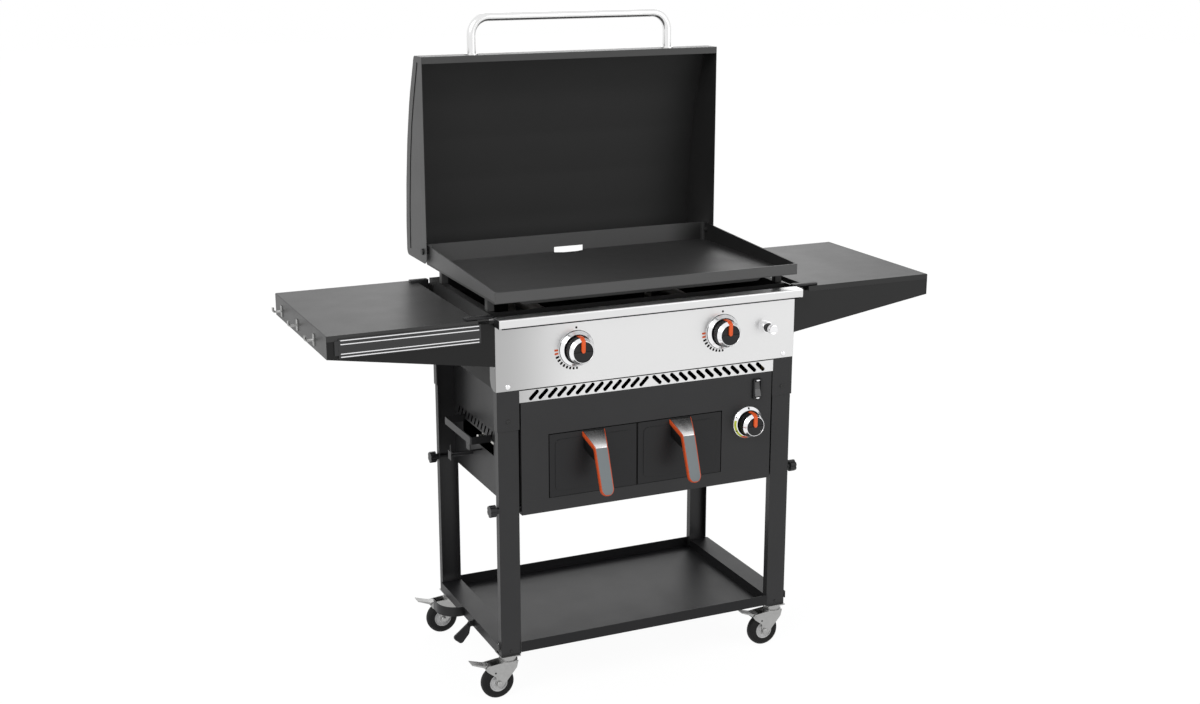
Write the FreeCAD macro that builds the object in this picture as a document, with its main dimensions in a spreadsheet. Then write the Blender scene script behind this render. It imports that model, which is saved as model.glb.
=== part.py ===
import FreeCAD, Part
import math
import os
import Sketcher
from FreeCAD import Rotation, Vector

# Outdoor gas griddle station with a cooking plate, a hinged lid, two fold-free side
# shelves, a two-basket fryer under the burners and a tray on four braked casters.
# X is to the right of the person who cooks, Y runs from the control panel to the
# back and Z up from the floor. The model is drawn with X = 0 in the middle and
# Y = 0 at the face of the control panel, then moved onto the centre of its footprint.

os.makedirs("parts", exist_ok=True)
doc = FreeCAD.newDocument("griddle_station")
sheet = doc.addObject("Spreadsheet::Sheet", "sizes")
size_rows = []


class Dim:
    """A size as a number together with the text that binds a property to the sheet."""

    def __init__(self, text, value):
        self.text = text
        self.value = value

    def __add__(self, other):
        other = dim(other)
        return Dim("(%s + %s)" % (self.text, other.text), self.value + other.value)

    def __radd__(self, other):
        return dim(other) + self

    def __sub__(self, other):
        other = dim(other)
        return Dim("(%s - %s)" % (self.text, other.text), self.value - other.value)

    def __rsub__(self, other):
        return dim(other) - self

    def __mul__(self, other):
        other = dim(other)
        return Dim("(%s * %s)" % (self.text, other.text), self.value * other.value)

    def __rmul__(self, other):
        return dim(other) * self

    def __truediv__(self, other):
        other = dim(other)
        return Dim("(%s / %s)" % (self.text, other.text), self.value / other.value)

    def __neg__(self):
        return Dim("(0 - %s)" % self.text, -self.value)


def dim(number):
    """Give a plain number the same form as a size of the sheet."""
    if isinstance(number, Dim):
        return number
    return Dim("(%r)" % float(number), float(number))


def root(value):
    """The square root of a size."""
    return Dim("sqrt(%s)" % value.text, math.sqrt(value.value))


def lower_of(one, other):
    """The lower of two sizes."""
    return Dim("min(%s; %s)" % (one.text, other.text), min(one.value, other.value))


def upper_of(one, other):
    """The upper of two sizes."""
    return Dim("max(%s; %s)" % (one.text, other.text), max(one.value, other.value))


def size(name, number):
    """Write one driving size into the sheet and give it back for use in formulas."""
    size_rows.append(name)
    row = len(size_rows)
    sheet.set("A%d" % row, name)
    sheet.set("B%d" % row, str(number))
    sheet.setAlias("B%d" % row, name)
    return Dim("sizes." + name, float(number))


# Sheet metal and running gaps
sheet_thick = size("sheet_thick", 1.0)
leg_thick = size("leg_thick", 1.5)
plate_thick = size("plate_thick", 3.0)
running_gap = size("running_gap", 0.3)
shaft_gap = size("shaft_gap", 0.05)

# Control panel and burner box
panel_half = size("panel_half", 356)
panel_bottom = size("panel_bottom", 697)
panel_top = size("panel_top", 856)
panel_wrap = size("panel_wrap", 33)
wrap_corner = size("wrap_corner", 20)
lip_bottom = size("lip_bottom", 838)
lip_reach = size("lip_reach", 30)
lip_overhang = size("lip_overhang", 1.2)
lip_radius = size("lip_radius", 3)
box_floor = size("box_floor", 700)
box_top = size("box_top", 857)
box_depth = size("box_depth", 420)
box_flange = size("box_flange", 17)
valve_bay = size("valve_bay", 42)

# Vent strip between the control panel and the fryer
vent_bottom = size("vent_bottom", 668.7)
vent_top = size("vent_top", 696)
vent_slots = size("vent_slots", 13)
vent_pitch = size("vent_pitch", 22.4)
vent_slot_width = size("vent_slot_width", 6.4)
vent_slot_rise = size("vent_slot_rise", 13)
vent_slot_lean = size("vent_slot_lean", 9)
vent_first = size("vent_first", 11)

# Legs
leg_outer = size("leg_outer", 354)
leg_web = size("leg_web", 50)
leg_return = size("leg_return", 20)
leg_back = size("leg_back", 411)
stub_bottom = size("stub_bottom", 610)
leg_nest_gap = size("leg_nest_gap", 0.5)
leg_overlap = size("leg_overlap", 70)
leg_bottom = size("leg_bottom", 99.5)
foot_length = size("foot_length", 42)

# Fryer housing
housing_half = size("housing_half", 308)
front_half = size("front_half", 301)
housing_bottom = size("housing_bottom", 418.6)
pan_edge = size("pan_edge", 448.7)
pan_rim = size("pan_rim", 422)
front_return = size("front_return", 22)
chamber_top = size("chamber_top", 604)
chamber_depth = size("chamber_depth", 340)
chamber_margin = size("chamber_margin", 4)
basket_pitch = size("basket_pitch", 208)
basket_middle = size("basket_middle", -31)
basket_gap = size("basket_gap", 4)
basket_bottom = size("basket_bottom", 450)
basket_top = size("basket_top", 590)
basket_edge_gap = size("basket_edge_gap", 2)

# Baskets
face_thick = size("face_thick", 1.6)
emboss_inset = size("emboss_inset", 13)
emboss_rise = size("emboss_rise", 1.2)
emboss_corner = size("emboss_corner", 12)
tub_inset = size("tub_inset", 8)
tub_floor = size("tub_floor", 458)
tub_rim = size("tub_rim", 560)
tub_length = size("tub_length", 290)
tub_corner = size("tub_corner", 14)
crisper_lift = size("crisper_lift", 16)
crisper_slot = size("crisper_slot", 8)
crisper_pitch = size("crisper_pitch", 26)
crisper_slots = size("crisper_slots", 10)
runner_width = size("runner_width", 8)
handle_top_width = size("handle_top_width", 54)
handle_width = size("handle_width", 33)
handle_thick = size("handle_thick", 8)
handle_top = size("handle_top", 589)
handle_bend_out = size("handle_bend_out", 42)
handle_bend = size("handle_bend", 563)
handle_tip_out = size("handle_tip_out", 82)
handle_tip = size("handle_tip", 459)

# Side and rear of the fryer
side_slots = size("side_slots", 11)
side_slot_pitch = size("side_slot_pitch", 21.2)
side_slot_first = size("side_slot_first", 149)
side_slot_top = size("side_slot_top", 563)
side_slot_lean = size("side_slot_lean", 11)
side_slot_length = size("side_slot_length", 18)
side_slot_width = size("side_slot_width", 8)
hatch_front = size("hatch_front", 147)
hatch_back = size("hatch_back", 345)
hatch_bottom = size("hatch_bottom", 508)
hatch_top = size("hatch_top", 541)
rear_louvres = size("rear_louvres", 8)
rear_louvre_pitch = size("rear_louvre_pitch", 12)
rear_louvre_length = size("rear_louvre_length", 130)

# Knobs, igniter and switch
knob_spacing = size("knob_spacing", 174)
knob_height = size("knob_height", 773)
ring_place = size("ring_place", 241.5)
ring_height = size("ring_height", 557)
bezel_radius = size("bezel_radius", 36)
bezel_depth = size("bezel_depth", 9)
bezel_rim = size("bezel_rim", 5)
knob_radius = size("knob_radius", 21.5)
knob_skirt = size("knob_skirt", 26)
knob_face = size("knob_face", 38)
knob_push = size("knob_push", 4)
stem_radius = size("stem_radius", 4)
pointer_width = size("pointer_width", 8)
igniter_place = size("igniter_place", 282.4)
igniter_ring = size("igniter_ring", 13)
igniter_reach = size("igniter_reach", 34)
button_radius = size("button_radius", 11)
button_push = size("button_push", 5)
switch_place = size("switch_place", 264)
switch_height = size("switch_height", 75)
switch_width = size("switch_width", 22)
switch_length = size("switch_length", 46)
pin_radius = size("pin_radius", 1.2)
rocker_tilt = size("rocker_tilt", 3)

# Gas pipe and burners
ring_valve_front = size("ring_valve_front", 12)
pipe_radius = size("pipe_radius", 8)
pipe_height = size("pipe_height", 745)
pipe_back = size("pipe_back", 24)
valve_width = size("valve_width", 26)
feed_radius = size("feed_radius", 4)
feed_bend = size("feed_bend", 24)
inlet_radius = size("inlet_radius", 8)
inlet_boss = size("inlet_boss", 10)
inlet_neck = size("inlet_neck", 1)
inlet_length = size("inlet_length", 12)
inlet_back = size("inlet_back", 245)
inlet_height = size("inlet_height", 521)
burner_radius = size("burner_radius", 14)
burner_length = size("burner_length", 340)
burner_foot = size("burner_foot", 9)
burner_lift = size("burner_lift", 34)
spud_hole = size("spud_hole", 7)
feed_place = size("feed_place", 290)

# Fan behind the baskets
fan_height = size("fan_height", 522)
fan_radius = size("fan_radius", 52)
fan_blades = size("fan_blades", 8)
fan_depth = size("fan_depth", 16)
fan_shaft = size("fan_shaft", 3)
motor_radius = size("motor_radius", 26)

# Griddle plate
plate_half = size("plate_half", 355.5)
plate_front = size("plate_front", -5)
plate_back = size("plate_back", 434)
plate_under = size("plate_under", 885)
front_wall_top = size("front_wall_top", 909)
rear_wall_top = size("rear_wall_top", 931)
plate_corner = size("plate_corner", 10)
drain_left = size("drain_left", -43)
drain_right = size("drain_right", 31)
drain_top = size("drain_top", 900)
drain_notch = size("drain_notch", 10)
foot_place = size("foot_place", 343.5)
foot_size = size("foot_size", 15)
foot_front = size("foot_front", 62)
foot_rear = size("foot_rear", 352)
guard_half = size("guard_half", 287)
guard_bottom = size("guard_bottom", 870)
guard_back = size("guard_back", 35)
guard_corner = size("guard_corner", 12)
chute_reach = size("chute_reach", 28)
chute_drop = size("chute_drop", 30)

# Lid, drawn standing open
lid_half = size("lid_half", 365)
lid_rim = size("lid_rim", 404)
lid_top = size("lid_top", 1352)
lid_foot = size("lid_foot", 890)
rim_strip = size("rim_strip", 15)
lid_depth_top = size("lid_depth_top", 53)
lid_depth_high = size("lid_depth_high", 93)
lid_depth_mid = size("lid_depth_mid", 118)
lid_depth_low = size("lid_depth_low", 134)
lid_depth = size("lid_depth", 143)
lid_step = size("lid_step", 98)
lid_curve = size("lid_curve", 450)
lid_corner = size("lid_corner", 14)
lid_tuck = size("lid_tuck", 24)
hinge_back = size("hinge_back", 427.7)
hinge_height = size("hinge_height", 916.3)
hinge_radius = size("hinge_radius", 4)
hinge_head = size("hinge_head", 7)
handle_tube = size("handle_tube", 10)
handle_half = size("handle_half", 242)
handle_back = size("handle_back", 422)
handle_height = size("handle_height", 1434)
handle_corner = size("handle_corner", 40)
handle_flange = size("handle_flange", 15)

# Side shelves
shelf_outer = size("shelf_outer", 708)
shelf_inner = size("shelf_inner", 391)
shelf_top = size("shelf_top", 854)
shelf_front = size("shelf_front", 1)
shelf_back = size("shelf_back", 421)
shelf_edge = size("shelf_edge", 48)
shelf_fold = size("shelf_fold", 12)
gusset_drop = size("gusset_drop", 102)
gusset_thick = size("gusset_thick", 1.5)
gusset_tab = size("gusset_tab", 28)
shelf_lug = size("shelf_lug", 9)
rail_inner = size("rail_inner", 396)
rail_outer = size("rail_outer", 692)
rail_width = size("rail_width", 30)
rail_thick = size("rail_thick", 1.5)
tool_hook_reach = size("tool_hook_reach", 22)
tool_hook_radius = size("tool_hook_radius", 2.5)
tool_hook_height = size("tool_hook_height", 826)
tool_hook_first = size("tool_hook_first", 94.5)
tool_hook_pitch = size("tool_hook_pitch", 134.6)

# Bottom tray
tray_thick = size("tray_thick", 1.2)
tray_floor = size("tray_floor", 105)
tray_lip = size("tray_lip", 128)
tray_ledge = size("tray_ledge", 125)
tray_skirt = size("tray_skirt", 103)
tray_ledge_half = size("tray_ledge_half", 356)
tray_wall_half = size("tray_wall_half", 308)
tray_back = size("tray_back", 406)

# Tank fittings
strap_reach = size("strap_reach", 48)
strap_width = size("strap_width", 17)
strap_top = size("strap_top", 552)
strap_front = size("strap_front", 163)
strap_back = size("strap_back", 335)
strap_thick = size("strap_thick", 1.5)
strap_tab = size("strap_tab", 28)
strap_tab_drop = size("strap_tab_drop", 15)
peg_radius = size("peg_radius", 4)
peg_back = size("peg_back", 285)
peg_height = size("peg_height", 475)
peg_reach = size("peg_reach", 55)
peg_plate = size("peg_plate", 20)
wire_radius = size("wire_radius", 2)
wire_back = size("wire_back", 225)
wire_height = size("wire_height", 500)
wire_reach = size("wire_reach", 72)
wire_upturn = size("wire_upturn", 20)
saddle_width = size("saddle_width", 22)
saddle_radius = size("saddle_radius", 50)
saddle_thick = size("saddle_thick", 3)
saddle_front = size("saddle_front", 234)
paddle_back = size("paddle_back", 168)
paddle_thick = size("paddle_thick", 5)
paddle_out = size("paddle_out", 33)
paddle_drop = size("paddle_drop", 40)
paddle_width = size("paddle_width", 17)
paddle_pin = size("paddle_pin", 3)

# Grease cup
cup_rail = size("cup_rail", 14)
cup_half = size("cup_half", 55)
cup_depth = size("cup_depth", 62)
cup_top = size("cup_top", 846)
cup_bottom = size("cup_bottom", 790)
cup_rim = size("cup_rim", 8)
cup_gap = size("cup_gap", 14)

# Casters
wheel_radius = size("wheel_radius", 37)
wheel_half = size("wheel_half", 11)
tyre_thick = size("tyre_thick", 17)
tyre_round = size("tyre_round", 5)
axle_radius = size("axle_radius", 4)
caster_place = size("caster_place", 331)
caster_front = size("caster_front", 19.5)
caster_trail = size("caster_trail", 26)
caster_plate = size("caster_plate", 2.5)
caster_plate_half = size("caster_plate_half", 22)
kingpin_radius = size("kingpin_radius", 5)
fork_radius = size("fork_radius", 21)
fork_crown = size("fork_crown", 78)
fork_thick = size("fork_thick", 2.5)
pedal_reach = size("pedal_reach", 87)
pedal_pivot_out = size("pedal_pivot_out", 50)
pedal_pivot = size("pedal_pivot", 75)
pedal_pin = size("pedal_pin", 2)
pedal_width = size("pedal_width", 24)
pedal_thick = size("pedal_thick", 2)

# Fasteners and thumb knobs
screw_radius = size("screw_radius", 4)
screw_head = size("screw_head", 2)
side_screw_back = size("side_screw_back", 7)
side_screw_height = size("side_screw_height", 750)
stub_screw_height = size("stub_screw_height", 630)
thumb_radius = size("thumb_radius", 13)
thumb_length = size("thumb_length", 20)
thumb_height = size("thumb_height", 435)
thumb_front = size("thumb_front", 9)
stud_radius = size("stud_radius", 3)

doc.recompute()

# Where the middle of the footprint lies in the drawing
footprint_x = -(tool_hook_reach / 2)
footprint_y = (lid_rim + lid_depth - handle_tip_out) / 2


def bind(obj, **values):
    """Tie properties to the sheet, or set them where the value is a plain number."""
    for name, value in values.items():
        if isinstance(value, Dim):
            obj.setExpression(name, value.text)
        else:
            setattr(obj, name, value)
    return obj


def move(obj, x, y, z):
    """Tie the place of a piece to the sheet."""
    for axis, value in zip("xyz", (x, y, z)):
        obj.setExpression("Placement.Base." + axis, dim(value).text)
    return obj


def block(name, x0, y0, z0, x1, y1, z1):
    """A box between two corners, the lower one first."""
    obj = doc.addObject("Part::Box", name)
    bind(obj, Length=dim(x1) - x0, Width=dim(y1) - y0, Height=dim(z1) - z0)
    return move(obj, x0, y0, z0)


TURNS = {
    "X": Rotation(Vector(0, 1, 0), 90),
    "Y": Rotation(Vector(1, 0, 0), -90),
    "Z": Rotation(),
}


def rod(name, along, radius, x, y, z, length):
    """A round bar that starts at x, y, z and runs forward along one axis."""
    obj = doc.addObject("Part::Cylinder", name)
    obj.Placement = FreeCAD.Placement(Vector(), TURNS[along])
    bind(obj, Radius=radius, Height=length)
    return move(obj, x, y, z)


def cut(name, base, tool):
    obj = doc.addObject("Part::Cut", name)
    obj.Base = base
    obj.Tool = tool
    return obj


def join(name, pieces):
    obj = doc.addObject("Part::MultiFuse", name)
    obj.Shapes = pieces
    return obj


def group(name, pieces):
    obj = doc.addObject("Part::Compound", name)
    obj.Links = pieces
    return obj


def mirror(name, source, axis="X", at=0):
    """The same piece on the other side of a plane square to X or Y."""
    obj = doc.addObject("Part::Mirroring", name)
    obj.Source = source
    obj.Normal = Vector(1, 0, 0) if axis == "X" else Vector(0, 1, 0)
    obj.setExpression("Base." + axis.lower(), dim(at).text)
    return obj


PLANES = {"XY": "XY_Plane", "XZ": "XZ_Plane", "YZ": "YZ_Plane"}


def origin_feature(body, role):
    return [item for item in body.Origin.OriginFeatures if item.Role == role][0]


def draw_circle(sketch, x, y, radius):
    """A circle with its centre and radius tied to the sheet."""
    index = sketch.addGeometry(
        Part.Circle(Vector(x.value, y.value, 0), Vector(0, 0, 1), radius.value)
    )
    first = sketch.ConstraintCount
    sketch.addConstraint([
        Sketcher.Constraint("DistanceX", -1, 1, index, 3, x.value),
        Sketcher.Constraint("DistanceY", -1, 1, index, 3, y.value),
        Sketcher.Constraint("Radius", index, radius.value),
    ])
    for step, value in enumerate((x, y, radius)):
        sketch.setExpression("Constraints[%d]" % (first + step), value.text)


def draw_outline(sketch, corners):
    """A closed outline; a corner with a third value is rounded to that radius."""
    count = len(corners)
    points = [(dim(c[0]), dim(c[1])) for c in corners]
    radii = [dim(c[2]) if len(c) > 2 else None for c in corners]
    flat = [Vector(p[0].value, p[1].value, 0) for p in points]
    starts = []
    ends = []
    arcs = []
    for i in range(count):
        here = flat[i]
        back = (flat[i - 1] - here).normalize()
        ahead = (flat[(i + 1) % count] - here).normalize()
        if radii[i] is None:
            ends.append(here)
            starts.append(here)
            arcs.append(None)
            continue
        half = back.getAngle(ahead) / 2
        reach = radii[i].value / math.tan(half)
        first = here + back * reach
        last = here + ahead * reach
        middle = here + (back + ahead).normalize() * (radii[i].value / math.sin(half))
        left_turn = (-back).cross(ahead).z > 0
        begin, finish = (first, last) if left_turn else (last, first)
        angle_0 = math.atan2(begin.y - middle.y, begin.x - middle.x)
        angle_1 = math.atan2(finish.y - middle.y, finish.x - middle.x)
        while angle_1 <= angle_0:
            angle_1 += 2 * math.pi
        circle = Part.Circle(middle, Vector(0, 0, 1), radii[i].value)
        arcs.append((Part.ArcOfCircle(circle, angle_0, angle_1), left_turn))
        ends.append(first)
        starts.append(last)
    lines = []
    for i in range(count):
        lines.append(Part.LineSegment(starts[i], ends[(i + 1) % count]))
    base = sketch.GeometryCount
    sketch.addGeometry(lines, False)
    arc_ids = {}
    for i in range(count):
        if arcs[i] is not None:
            arc_ids[i] = sketch.addGeometry(arcs[i][0], False)
            sketch.addGeometry(Part.Point(flat[i]), True)
    rules = []
    ties = []
    for i in range(count):
        before = base + (i - 1) % count
        after = base + i
        if arcs[i] is None:
            rules.append(Sketcher.Constraint("Coincident", before, 2, after, 1))
            anchor = after
        else:
            arc = arc_ids[i]
            enter, leave = (1, 2) if arcs[i][1] else (2, 1)
            rules.append(Sketcher.Constraint("Tangent", before, 2, arc, enter))
            rules.append(Sketcher.Constraint("Tangent", arc, leave, after, 1))
            rules.append(Sketcher.Constraint("PointOnObject", arc + 1, 1, before))
            rules.append(Sketcher.Constraint("PointOnObject", arc + 1, 1, after))
            ties.append((len(rules), radii[i]))
            rules.append(Sketcher.Constraint("Radius", arc, radii[i].value))
            anchor = arc + 1
        for kind, value in zip(("DistanceX", "DistanceY"), points[i]):
            ties.append((len(rules), value))
            rules.append(Sketcher.Constraint(kind, -1, 1, anchor, 1, value.value))
    first = sketch.ConstraintCount
    sketch.addConstraint(rules)
    for step, value in ties:
        sketch.setExpression("Constraints[%d]" % (first + step), value.text)


def new_body(name):
    return doc.addObject("PartDesign::Body", name)


def sketch_on(body, plane, outlines, at):
    """A sketch on one of the body's own planes, moved along that plane's axis."""
    sketch = body.newObject("Sketcher::SketchObject", body.Name + "_sketch")
    sketch.AttachmentSupport = [(origin_feature(body, PLANES[plane]), "")]
    sketch.MapMode = "FlatFace"
    offset = -dim(at) if plane == "XZ" else dim(at)
    sketch.setExpression("AttachmentOffset.Base.z", offset.text)
    for outline in outlines:
        if outline[0] == "circle":
            draw_circle(sketch, dim(outline[1]), dim(outline[2]), dim(outline[3]))
        else:
            draw_outline(sketch, outline)
    return sketch


def extrude(body, plane, outlines, start, end):
    """Add material between two places along the axis square to the plane."""
    sketch = sketch_on(body, plane, outlines, start)
    pad = body.newObject("PartDesign::Pad", body.Name + "_pad")
    pad.Profile = sketch
    pad.Reversed = plane == "XZ"
    return bind(pad, Length=dim(end) - start)


def carve(body, plane, outlines, start, end):
    """Take material away between two places along the axis square to the plane."""
    sketch = sketch_on(body, plane, outlines, start)
    pocket = body.newObject("PartDesign::Pocket", body.Name + "_pocket")
    pocket.Profile = sketch
    pocket.Reversed = plane != "XZ"
    return bind(pocket, Length=dim(end) - start)


def revolve(body, plane, outline, axis):
    """Turn an outline round one of the body's own axes."""
    sketch = sketch_on(body, plane, [outline], 0)
    turn = body.newObject("PartDesign::Revolution", body.Name + "_turn")
    turn.Profile = sketch
    turn.ReferenceAxis = (origin_feature(body, axis), [""])
    turn.Angle = 360
    return turn


def row_of(body, feature, axis, pitch, count, backwards=False):
    """Repeat a feature in a straight row."""
    row = body.newObject("PartDesign::LinearPattern", body.Name + "_row")
    row.Originals = [feature]
    row.Direction = (origin_feature(body, axis), [""])
    row.Reversed = backwards
    row.Mode = "Spacing"
    bind(row, Offset=pitch, Occurrences=count)
    body.Tip = row
    return row


def rectangle(x0, y0, x1, y1, corner=None):
    if corner is None:
        return [(x0, y0), (x1, y0), (x1, y1), (x0, y1)]
    return [(x0, y0, corner), (x1, y0, corner), (x1, y1, corner), (x0, y1, corner)]


def bent_rod(name, plane, points, bend, radius, at, along):
    """A round bar swept along straight runs with equal bends, in one plane."""
    body = new_body(name)
    path = body.newObject("Sketcher::SketchObject", name + "_path")
    path.AttachmentSupport = [(origin_feature(body, PLANES[plane]), "")]
    path.MapMode = "FlatFace"
    offset = -dim(at) if plane == "XZ" else dim(at)
    path.setExpression("AttachmentOffset.Base.z", offset.text)
    draw_path(path, points, bend)
    ring = body.newObject("Sketcher::SketchObject", name + "_ring")
    first = [dim(value) for value in points[0]]
    if along == "Z":
        ring.AttachmentSupport = [(origin_feature(body, "XY_Plane"), "")]
        centre = (first[0], dim(at)) if plane == "XZ" else (dim(at), first[0])
        height = first[1]
    elif along == "X":
        ring.AttachmentSupport = [(origin_feature(body, "YZ_Plane"), "")]
        centre = (dim(at), first[1])
        height = first[0]
    else:
        ring.AttachmentSupport = [(origin_feature(body, "XZ_Plane"), "")]
        centre = (dim(at), first[1])
        height = -first[0]
    ring.MapMode = "FlatFace"
    ring.setExpression("AttachmentOffset.Base.z", height.text)
    draw_circle(ring, centre[0], centre[1], dim(radius))
    sweep = body.newObject("PartDesign::AdditivePipe", name + "_sweep")
    sweep.Profile = ring
    sweep.Spine = path
    return body


def draw_path(sketch, corners, bend):
    """An open path of straight runs joined by arcs of one radius."""
    points = [(dim(c[0]), dim(c[1])) for c in corners]
    flat = [Vector(p[0].value, p[1].value, 0) for p in points]
    bend = dim(bend)
    previous = None
    start = flat[0]
    rules = []
    ties = []

    def tie(geometry, position, point):
        for kind, value in zip(("DistanceX", "DistanceY"), point):
            ties.append((len(rules), value))
            rules.append(Sketcher.Constraint(kind, -1, 1, geometry, position, value.value))

    for i in range(1, len(flat)):
        here = flat[i]
        if i == len(flat) - 1:
            line = sketch.addGeometry(Part.LineSegment(start, here), False)
            if previous is None:
                tie(line, 1, points[0])
            else:
                rules.append(Sketcher.Constraint("Tangent", previous[0], previous[1], line, 1))
                rules.append(Sketcher.Constraint("PointOnObject", previous[2], 1, line))
            tie(line, 2, points[i])
            continue
        back = (flat[i - 1] - here).normalize()
        ahead = (flat[i + 1] - here).normalize()
        half = back.getAngle(ahead) / 2
        reach = bend.value / math.tan(half)
        first = here + back * reach
        last = here + ahead * reach
        middle = here + (back + ahead).normalize() * (bend.value / math.sin(half))
        left_turn = (-back).cross(ahead).z > 0
        begin, finish = (first, last) if left_turn else (last, first)
        angle_0 = math.atan2(begin.y - middle.y, begin.x - middle.x)
        angle_1 = math.atan2(finish.y - middle.y, finish.x - middle.x)
        while angle_1 <= angle_0:
            angle_1 += 2 * math.pi
        line = sketch.addGeometry(Part.LineSegment(start, first), False)
        circle = Part.Circle(middle, Vector(0, 0, 1), bend.value)
        arc = sketch.addGeometry(Part.ArcOfCircle(circle, angle_0, angle_1), False)
        corner = sketch.addGeometry(Part.Point(here), True)
        if previous is None:
            tie(line, 1, points[0])
        else:
            rules.append(Sketcher.Constraint("Tangent", previous[0], previous[1], line, 1))
            rules.append(Sketcher.Constraint("PointOnObject", previous[2], 1, line))
        enter, leave = (1, 2) if left_turn else (2, 1)
        rules.append(Sketcher.Constraint("Tangent", line, 2, arc, enter))
        rules.append(Sketcher.Constraint("PointOnObject", corner, 1, line))
        tie(corner, 1, points[i])
        ties.append((len(rules), bend))
        rules.append(Sketcher.Constraint("Radius", arc, bend.value))
        previous = (arc, leave, corner)
        start = last
    first = sketch.ConstraintCount
    sketch.addConstraint(rules)
    for step, value in ties:
        sketch.setExpression("Constraints[%d]" % (first + step), value.text)


nodes = []


def node(name, obj):
    """Name a finished sub-part and move it onto the centre of the footprint."""
    obj.Label = name
    obj.setExpression("Placement.Base.x", (-footprint_x).text)
    obj.setExpression("Placement.Base.y", (-footprint_y).text)
    nodes.append((name, obj))
    return obj


def copy_of(name, obj):
    """A second use of the same shape, so that the first keeps its own place."""
    return group(name, [obj])


# Burner box
# Floor and walls of one folded sheet, with a flange along each side for the plate's
# feet and two short rails behind for the grease cup.
side_out = panel_half - sheet_thick
side_in = side_out - sheet_thick
burner_axis = knob_height + burner_lift
cup_middle = (drain_left + drain_right) / 2
cup_front = box_depth + cup_gap
cup_back = cup_front + cup_depth
rail_top = cup_top - sheet_thick - running_gap
rail_place = cup_half + 3
body = new_body("burner_box")
extrude(body, "XY", [rectangle(-side_out, sheet_thick, side_out, box_depth)], box_floor, box_top)
carve(
    body,
    "XY",
    [rectangle(-side_in, valve_bay, side_in, box_depth - sheet_thick)],
    box_floor + sheet_thick,
    box_top + 1,
)
carve(
    body,
    "XY",
    [rectangle(-side_in, 0, side_in, valve_bay - sheet_thick)],
    box_floor + sheet_thick,
    box_top + 1,
)
flange_in = side_out - box_flange
extrude(
    body,
    "XY",
    [
        rectangle(flange_in, valve_bay, side_out, box_depth),
        rectangle(-side_out, valve_bay, -flange_in, box_depth),
    ],
    box_top - sheet_thick,
    box_top,
)
carve(
    body,
    "XZ",
    [
        ("circle", -knob_spacing, burner_axis, spud_hole),
        ("circle", knob_spacing, burner_axis, spud_hole),
    ],
    valve_bay - sheet_thick - 1,
    valve_bay + 1,
)
inlet_shoulder = feed_radius + 2
thread_start = housing_half + 1 - inlet_length
inlet_place = lower_of(feed_place, thread_start - inlet_neck - inlet_shoulder)
carve(
    body,
    "XY",
    [
        ("circle", feed_place, pipe_back, feed_radius + 2),
        ("circle", -inlet_place, pipe_back, feed_radius + 2),
    ],
    box_floor - 1,
    box_floor + sheet_thick + 1,
)
extrude(
    body,
    "XY",
    [
        rectangle(
            cup_middle - rail_place - 1, box_depth - 0.5, cup_middle - rail_place + 1, cup_back - 4
        ),
        rectangle(
            cup_middle + rail_place - 1, box_depth - 0.5, cup_middle + rail_place + 1, cup_back - 4
        ),
    ],
    rail_top - cup_rail,
    rail_top,
)
node("burner_box", body)

# Control panel
# A bright sheet across the front that wraps round both sides of the box.
body = new_body("control_panel")
wrap_in = panel_half - sheet_thick
extrude(
    body,
    "XY",
    [[
        (-panel_half, 0, lip_radius),
        (panel_half, 0, lip_radius),
        (panel_half, panel_wrap),
        (wrap_in, panel_wrap),
        (wrap_in, sheet_thick),
        (-wrap_in, sheet_thick),
        (-wrap_in, panel_wrap),
        (-panel_half, panel_wrap),
    ]],
    panel_bottom,
    panel_top,
)
carve(
    body,
    "YZ",
    [[
        (panel_wrap - wrap_corner, panel_bottom - 1),
        (panel_wrap + 1, panel_bottom - 1),
        (panel_wrap + 1, panel_bottom + wrap_corner),
        (panel_wrap, panel_bottom + wrap_corner),
        (panel_wrap - wrap_corner * 0.3, panel_bottom + wrap_corner * 0.3),
        (panel_wrap - wrap_corner, panel_bottom),
    ]],
    -panel_half - 1,
    panel_half + 1,
)
carve(
    body,
    "XZ",
    [
        ("circle", -knob_spacing, knob_height, stem_radius + 3),
        ("circle", knob_spacing, knob_height, stem_radius + 3),
        ("circle", igniter_place, knob_height, igniter_ring - 2),
    ],
    -1,
    sheet_thick + 1,
)
node("control_panel", body)

# Front lip
# A hollow bull-nose along the top edge of the control panel, open at both ends.
body = new_body("front_lip")
lip_top = box_top
extrude(
    body,
    "YZ",
    [[
        (sheet_thick, lip_top),
        (-lip_reach, lip_top, lip_radius),
        (-lip_reach, lip_bottom, lip_radius),
        (0, lip_bottom),
        (0, lip_bottom + sheet_thick),
        (sheet_thick - lip_reach, lip_bottom + sheet_thick, lip_radius - sheet_thick),
        (sheet_thick - lip_reach, lip_top - sheet_thick, lip_radius - sheet_thick),
        (sheet_thick, lip_top - sheet_thick),
    ]],
    -panel_half - lip_overhang,
    panel_half + lip_overhang,
)
node("front_lip", body)

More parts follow.
